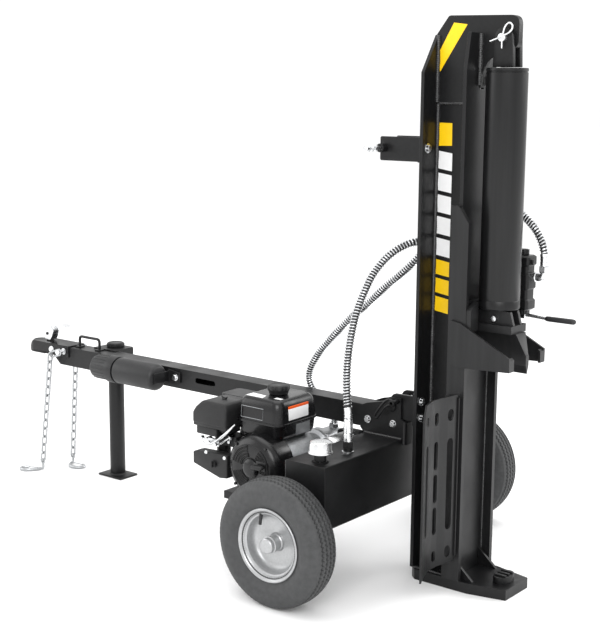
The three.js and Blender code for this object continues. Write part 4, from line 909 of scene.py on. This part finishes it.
def stripes():
    """Plain films: a square, five white and three yellow bars down the web, and a slanting one on top."""
    film_y = -5.4
    left, right, slant = 195, 255, -9
    decal("web_square", "beam", [(193, 1396), (253, 1398), (252, 1467), (194, 1468)], YELLOW, ("y", film_y))
    for colour, film, top, pitch, height, count in (("white", WHITE, 1383, 68, 55, 5),
                                                    ("yellow", YELLOW, 1042, 59, 47, 3)):
        for i in range(count):
            z = top - i * pitch
            points = [(left, z - height), (right, z - height + slant), (right, z + slant), (left, z)]
            decal(f"{colour}_stripe_{i + 1}", "beam", points, film, ("y", film_y))
    decal("plate_slant_film", "beam", [(201, 1680), (207, 1623), (301, 1764), (253, 1770)], YELLOW,
        ("y", low("top_plate").y - 0.4))


def cylinder_group():
    a, b = low("cylinder"), high("cylinder")
    x = 436
    z0, z1 = a.z, 1634
    build = Build()
    build.lathe([(22.6, z0), (44, z0), (46, z0 + 1), (61.6, z0 + 1), (63, z0 + 3), (63, z0 + 26),
        (62.2, z0 + 27.6), (63, z0 + 29), (63, z1 - 14), (61.6, z1 - 12.6), (61.6, z1 - 10.6),
        (63.4, z1 - 9), (63.4, z1 - 2), (62, z1), (0, z1), (0, z1 - 30), (53, z1 - 30), (53, z0 + 40),
        (22.6, z0 + 40), (22.6, z0)], "z", (x, 0, 0), sides=128)
    build.rod("y", (x, 0, z0 + 24), 15.6, 58, 71)
    build.done("cylinder_barrel", "beam", BARREL, "cylinder")
    pz = 1722
    ear = [(x - 34, z1 + 2), (x + 34, z1 + 2), (x + 31, pz - 10)]
    ear += [(x + 30 * math.cos(math.radians(t)), pz + 30 * math.sin(math.radians(t)))
        for t in range(0, 181, 12)]
    ear += [(x - 31, pz - 10)]
    build = Build()
    for y in (-31, 13.5):
        build.prism(ear, "y", y, y + 17.5, bevel=1.5)
    build.done("cylinder_ears", "beam", PAINT)
    build = Build()
    build.rod("y", (x, 0, pz), 12.5, -44.6, 39, sides=48, round_by=2)
    build.rod("y", (x, 0, pz), 17, 34, 40, sides=48)
    clip = [(x + 1, -41, pz - 32), (x + 1, -41, pz - 10), (x + 4, -41, pz + 12), (x + 11, -41, pz + 32),
        (x + 22, -41, pz + 41), (x + 32, -41, pz + 37), (x + 34, -41, pz + 26), (x + 25, -42, pz + 14),
        (x + 8, -45, pz + 5), (x - 14, -47, pz - 4), (x - 36, -46, pz - 11)]
    build.tube(spline(clip, 6), 2.6, sides=12)
    build.done("cylinder_pin_turned", "beam", ZINC, "cylinder_pin")
    a, b = low("piston_rod"), high("piston_rod")
    build = Build()
    build.rod("z", (x, 0, 0), 22, 905, b.z - 20, sides=72)
    build.rod("z", (x, 0, 0), 52.6, b.z - 39, b.z, sides=72)
    build.done("piston_rod_chromed", "wedge", CHROME, "piston_rod")
    build = Build()
    build.box(x - 20, x + 20, -15, 15, 872, 906, bevel=2)
    build.rod("y", (x, 0, 878), 15.4, -15, 15)
    build.done("rod_lug", "wedge", PAINT)
    build = Build()
    build.rod("y", (x, 0, 878), 9.5, -36, 36, sides=40, round_by=1.5)
    build.rod("y", (x, 0, 878), 14, 28.6, 36, sides=40)
    build.done("wedge_pin_turned", "wedge", ZINC, "wedge_pin")


def valve_group():
    x0, x1, y0, y1, z0, z1 = 424, 488, 80, 140, 892, 1064
    build = Build()
    loft(build, [(z0, x0 + 6, x1 - 6, y0 + 6, y1 - 6, 8), (z0 + 5, x0, x1, y0, y1, 10),
        (z0 + 30, x0, x1, y0, y1, 10), (z0 + 36, x0 + 5, x1 - 5, y0 + 4, y1 - 4, 9),
        (z0 + 64, x0 + 5, x1 - 5, y0 + 4, y1 - 4, 9), (z0 + 70, x0, x1, y0, y1, 10),
        (z1 - 60, x0, x1, y0, y1, 10), (z1 - 54, x0 + 5, x1 - 5, y0 + 4, y1 - 4, 9),
        (z1 - 34, x0 + 5, x1 - 5, y0 + 4, y1 - 4, 9), (z1 - 28, x0, x1, y0, y1, 10),
        (z1 - 5, x0, x1, y0, y1, 10), (z1, x0 + 6, x1 - 6, y0 + 6, y1 - 6, 8)])
    build.rod("z", (456, 110, 0), 20, z0 - 14, z0 + 2)
    build.rod("z", (456, 110, 0), 16, z1 - 2, z1 + 18)
    build.hexagon("z", (456, 110, 0), 12, z1 + 8, z1 + 18)
    for y in (-18.5, 14.5):
        build.box(452, 472, 112 + y, 112 + y + 4, 866, z0 + 1, bevel=1)
    build.rod("x", (0, 100, 1044), 8, x1 - 2, x1 + 8)
    build.done("valve_casting", "beam", PAINT, "valve_body")
    build = Build()
    build.hexagon("x", (0, 112, 998), 17, x1 - 1, x1 + 14)
    elbow = [(x1 + 12, 112, 998), (x1 + 26, 112, 998), (x1 + 34, 112, 1001), (x1 + 38, 112, 1010),
        (x1 + 38, 112, 1022)]
    build.tube(spline(elbow, 6), 13, sides=24)
    build.hexagon("z", (x1 + 38, 112, 0), 18, 1014, 1034)
    build.hexagon("x", (0, 120, 940), 15.5, x0 - 22, x0 - 6)
    build.rod("x", (0, 120, 940), 13, x0 - 8, x0 + 2)
    build.rod("y", (436, 0, 932), 12, 71.4, 82)
    build.hexagon("y", (436, 0, 932), 16, 71.6, 79)
    build.done("valve_fittings", "beam", ZINC)
    x, y, z = 462, 112, 876
    droop = 5
    build = Build()
    build.rod("y", (x, 0, z), 8, y - 13, y + 13)
    arm = spline([(x, y, z), (x + 34, y, z - 2), (x + 84, y, z - droop)], 6)
    build.tube(arm, 5.6, sides=20)
    build.done("valve_lever_rod", "valve_lever", ZINC, "valve_lever")
    build = Build()
    build.lathe([(0, x + 76), (6, x + 76), (8, x + 80), (8.4, x + 90), (8.6, x + 130), (8.6, x + 166),
        (8, x + 173), (5, x + 177.4), (0, x + 178)], "x", (0, y, z - droop), sides=40)
    build.done("valve_lever_grip", "valve_lever", SOFT_RUBBER)


def travel_pin():
    a, b = low("travel_pin"), high("travel_pin")
    c = (a + b) / 2
    build = Build()
    build.rod("y", (c.x, 0, c.z), 7, a.y + 4, b.y, sides=40, round_by=2)
    build.lathe([(0, a.y), (6, a.y), (9, a.y + 2), (9.6, a.y + 5), (9.6, a.y + 12), (7, a.y + 15),
        (0, a.y + 15)], "y", (c.x, 0, c.z), sides=40)
    collar, knob = -114, a.y + 16
    coil = []
    for i in range(101):
        t = TAU * i / 20
        coil.append((c.x + 9.4 * math.cos(t), knob + (collar - knob) * i / 100, c.z + 9.4 * math.sin(t)))
    build.tube(coil, 1.4, sides=8)
    build.rod("y", (c.x, 0, c.z), 12, collar, collar + 16, sides=32)
    build.done("travel_pin_sprung", "travel_pin", ZINC, "travel_pin")


# ---- hoses -----------------------------------------------------------------------------------
RETURN_ROUTE = [(65, -272, 544.4), (65, -272, 562), (50, -260, 616), (36, -243, 690), (30, -226, 757),
    (30, -206, 829), (34, -184, 890), (42, -159, 942), (54, -132, 993), (80, -100, 1042), (112, -70, 1075),
    (145, -36, 1092), (158, 10, 1080), (164, 60, 1050), (176, 104, 1010), (206, 134, 970), (260, 146, 948),
    (330, 134, 941), (366, 121, 940), (401.4, 120, 940)]
PRESSURE_ROUTE = [(-235, 54, 418.6), (-235, 54, 440), (-262, 58, 468), (-310, 62, 496), (-350, 62, 545),
    (-352, 62, 585), (-318, 62, 646), (-272, 62, 700), (-215, 62, 758), (-162, 62, 808), (-100, 62, 858),
    (-32, 62, 920), (30, 64, 970), (86, 68, 1024), (120, 80, 1070), (150, 104, 1120), (200, 132, 1164),
    (270, 142, 1194), (350, 138, 1204), (424, 126, 1192), (484, 114, 1152), (516, 112, 1104),
    (526, 112, 1060), (526, 112, 1034.6)]


def hose(name, node, route):
    """A black hose in a coiled wire guard, with a crimped ferrule at each end."""
    line = spline(route, 10)
    build = Build()
    build.tube(line, 10.4, sides=20)
    lengths = [0.0]
    for a, b in zip(line, line[1:]):
        lengths.append(lengths[-1] + (b - a).length)
    total = lengths[-1]
    pitch, per = 9.5, 16
    frames = []
    side = (line[1] - line[0]).orthogonal().normalized()
    for i, p in enumerate(line):
        t = (line[min(i + 1, len(line) - 1)] - line[max(i - 1, 0)]).normalized()
        side = (side - t * side.dot(t)).normalized()
        frames.append((p, t, side.copy()))
    build.slot = 1
    coil, k = [], 0
    ferrule = 42
    count = int((total - 2 * ferrule) / pitch * per)
    for i in range(count + 1):
        d = ferrule + (total - 2 * ferrule) * i / count
        while k < len(lengths) - 2 and lengths[k + 1] < d:
            k += 1
        share = (d - lengths[k]) / max(lengths[k + 1] - lengths[k], 1e-6)
        (p, t, s), (q, u, w) = frames[k], frames[k + 1]
        p, t, s = p.lerp(q, share), t.lerp(u, share).normalized(), s.lerp(w, share).normalized()
        a = TAU * i / per
        coil.append(p + 11.6 * (math.cos(a) * s + math.sin(a) * t.cross(s)))
    build.tube(coil, 2.5, sides=8)
    build.slot = 2
    for first, last in ((0.0, ferrule), (total - ferrule, total)):
        part = [p for p, d in zip(line, lengths) if first - 1e-6 <= d <= last + 1e-6]
        build.tube(part, lambda t: 14.0 - 1.1 * abs(math.sin(t * 9)), sides=24)
    mesh_piece = build.done(name, None, [SOFT_RUBBER, GUARD, ZINC])
    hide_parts(node)
    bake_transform(mesh_piece)
    return mesh_piece


# ---- stage -----------------------------------------------------------------------------------
def stage():
    bm = bmesh.new()
    bmesh.ops.create_grid(bm, x_segments=1, y_segments=1, size=120)
    mesh = bpy.data.meshes.new("floor")
    bm.to_mesh(mesh)
    bm.free()
    floor = bpy.data.objects.new("floor", mesh)
    bpy.context.scene.collection.objects.link(floor)
    material = bpy.data.materials.new("pale_floor")
    material.use_nodes = True
    shader = material.node_tree.nodes["Principled BSDF"]
    shader.inputs["Base Color"].default_value = (0.94, 0.94, 0.94, 1)
    shader.inputs["Roughness"].default_value = 0.9
    mesh.materials.append(material)
    world = bpy.data.worlds.new("studio")
    bpy.context.scene.world = world
    world.use_nodes = True
    world.node_tree.nodes["Background"].inputs["Color"].default_value = (1, 1, 1, 1)
    world.node_tree.nodes["Background"].inputs["Strength"].default_value = 1.1
    bpy.context.scene.view_settings.view_transform = "Standard"
    target = Vector((-0.2, 0, 0.7))
    for name, place, size, power in (("key", (3.5, -5.5, 4.5), 4.0, 240),
                                     ("fill", (-5.5, -3.5, 3.0), 4.0, 90),
                                     ("top", (-0.5, 0.5, 5.5), 5.0, 130), ("rim", (4.0, 4.5, 3.5), 3.0, 150)):
        lamp = bpy.data.lights.new(name, "AREA")
        lamp.size = size
        lamp.energy = power
        thing = bpy.data.objects.new(name, lamp)
        bpy.context.scene.collection.objects.link(thing)
        thing.location = place
        thing.rotation_euler = (target - Vector(place)).to_track_quat("-Z", "Y").to_euler()


def camera():
    yaw, pitch, roll = math.radians(38.40), math.radians(10.24), math.radians(0.41)
    forward = Vector((-math.sin(yaw) * math.cos(pitch), math.cos(yaw) * math.cos(pitch), -math.sin(pitch)))
    right = Vector((math.cos(yaw), math.sin(yaw), 0))
    up = right.cross(forward)
    side = right * math.cos(roll) + up * math.sin(roll)
    top = up * math.cos(roll) - right * math.sin(roll)
    data = bpy.data.cameras.new("view")
    data.lens = 72.05
    thing = bpy.data.objects.new("view", data)
    bpy.context.scene.collection.objects.link(thing)
    matrix = Matrix((side, top, -forward)).transposed().to_4x4()
    matrix.translation = Vector((2.37377, -3.43316, 1.56895))
    thing.matrix_world = matrix
    bpy.context.scene.camera = thing


camera()
hose("hose_return_guarded", "hose_return", RETURN_ROUTE)
hose("hose_pressure_guarded", "hose_pressure", PRESSURE_ROUTE)
for wheel_side, wheel_label in ((-1, "near"), (1, "far")):
    tyre(wheel_side, wheel_label)
engine()
pump_group()
tank_group()
pivot_group()
tongue_group()
beam_group()
cylinder_group()
valve_group()
travel_pin()
stage()

bpy.context.view_layer.update()
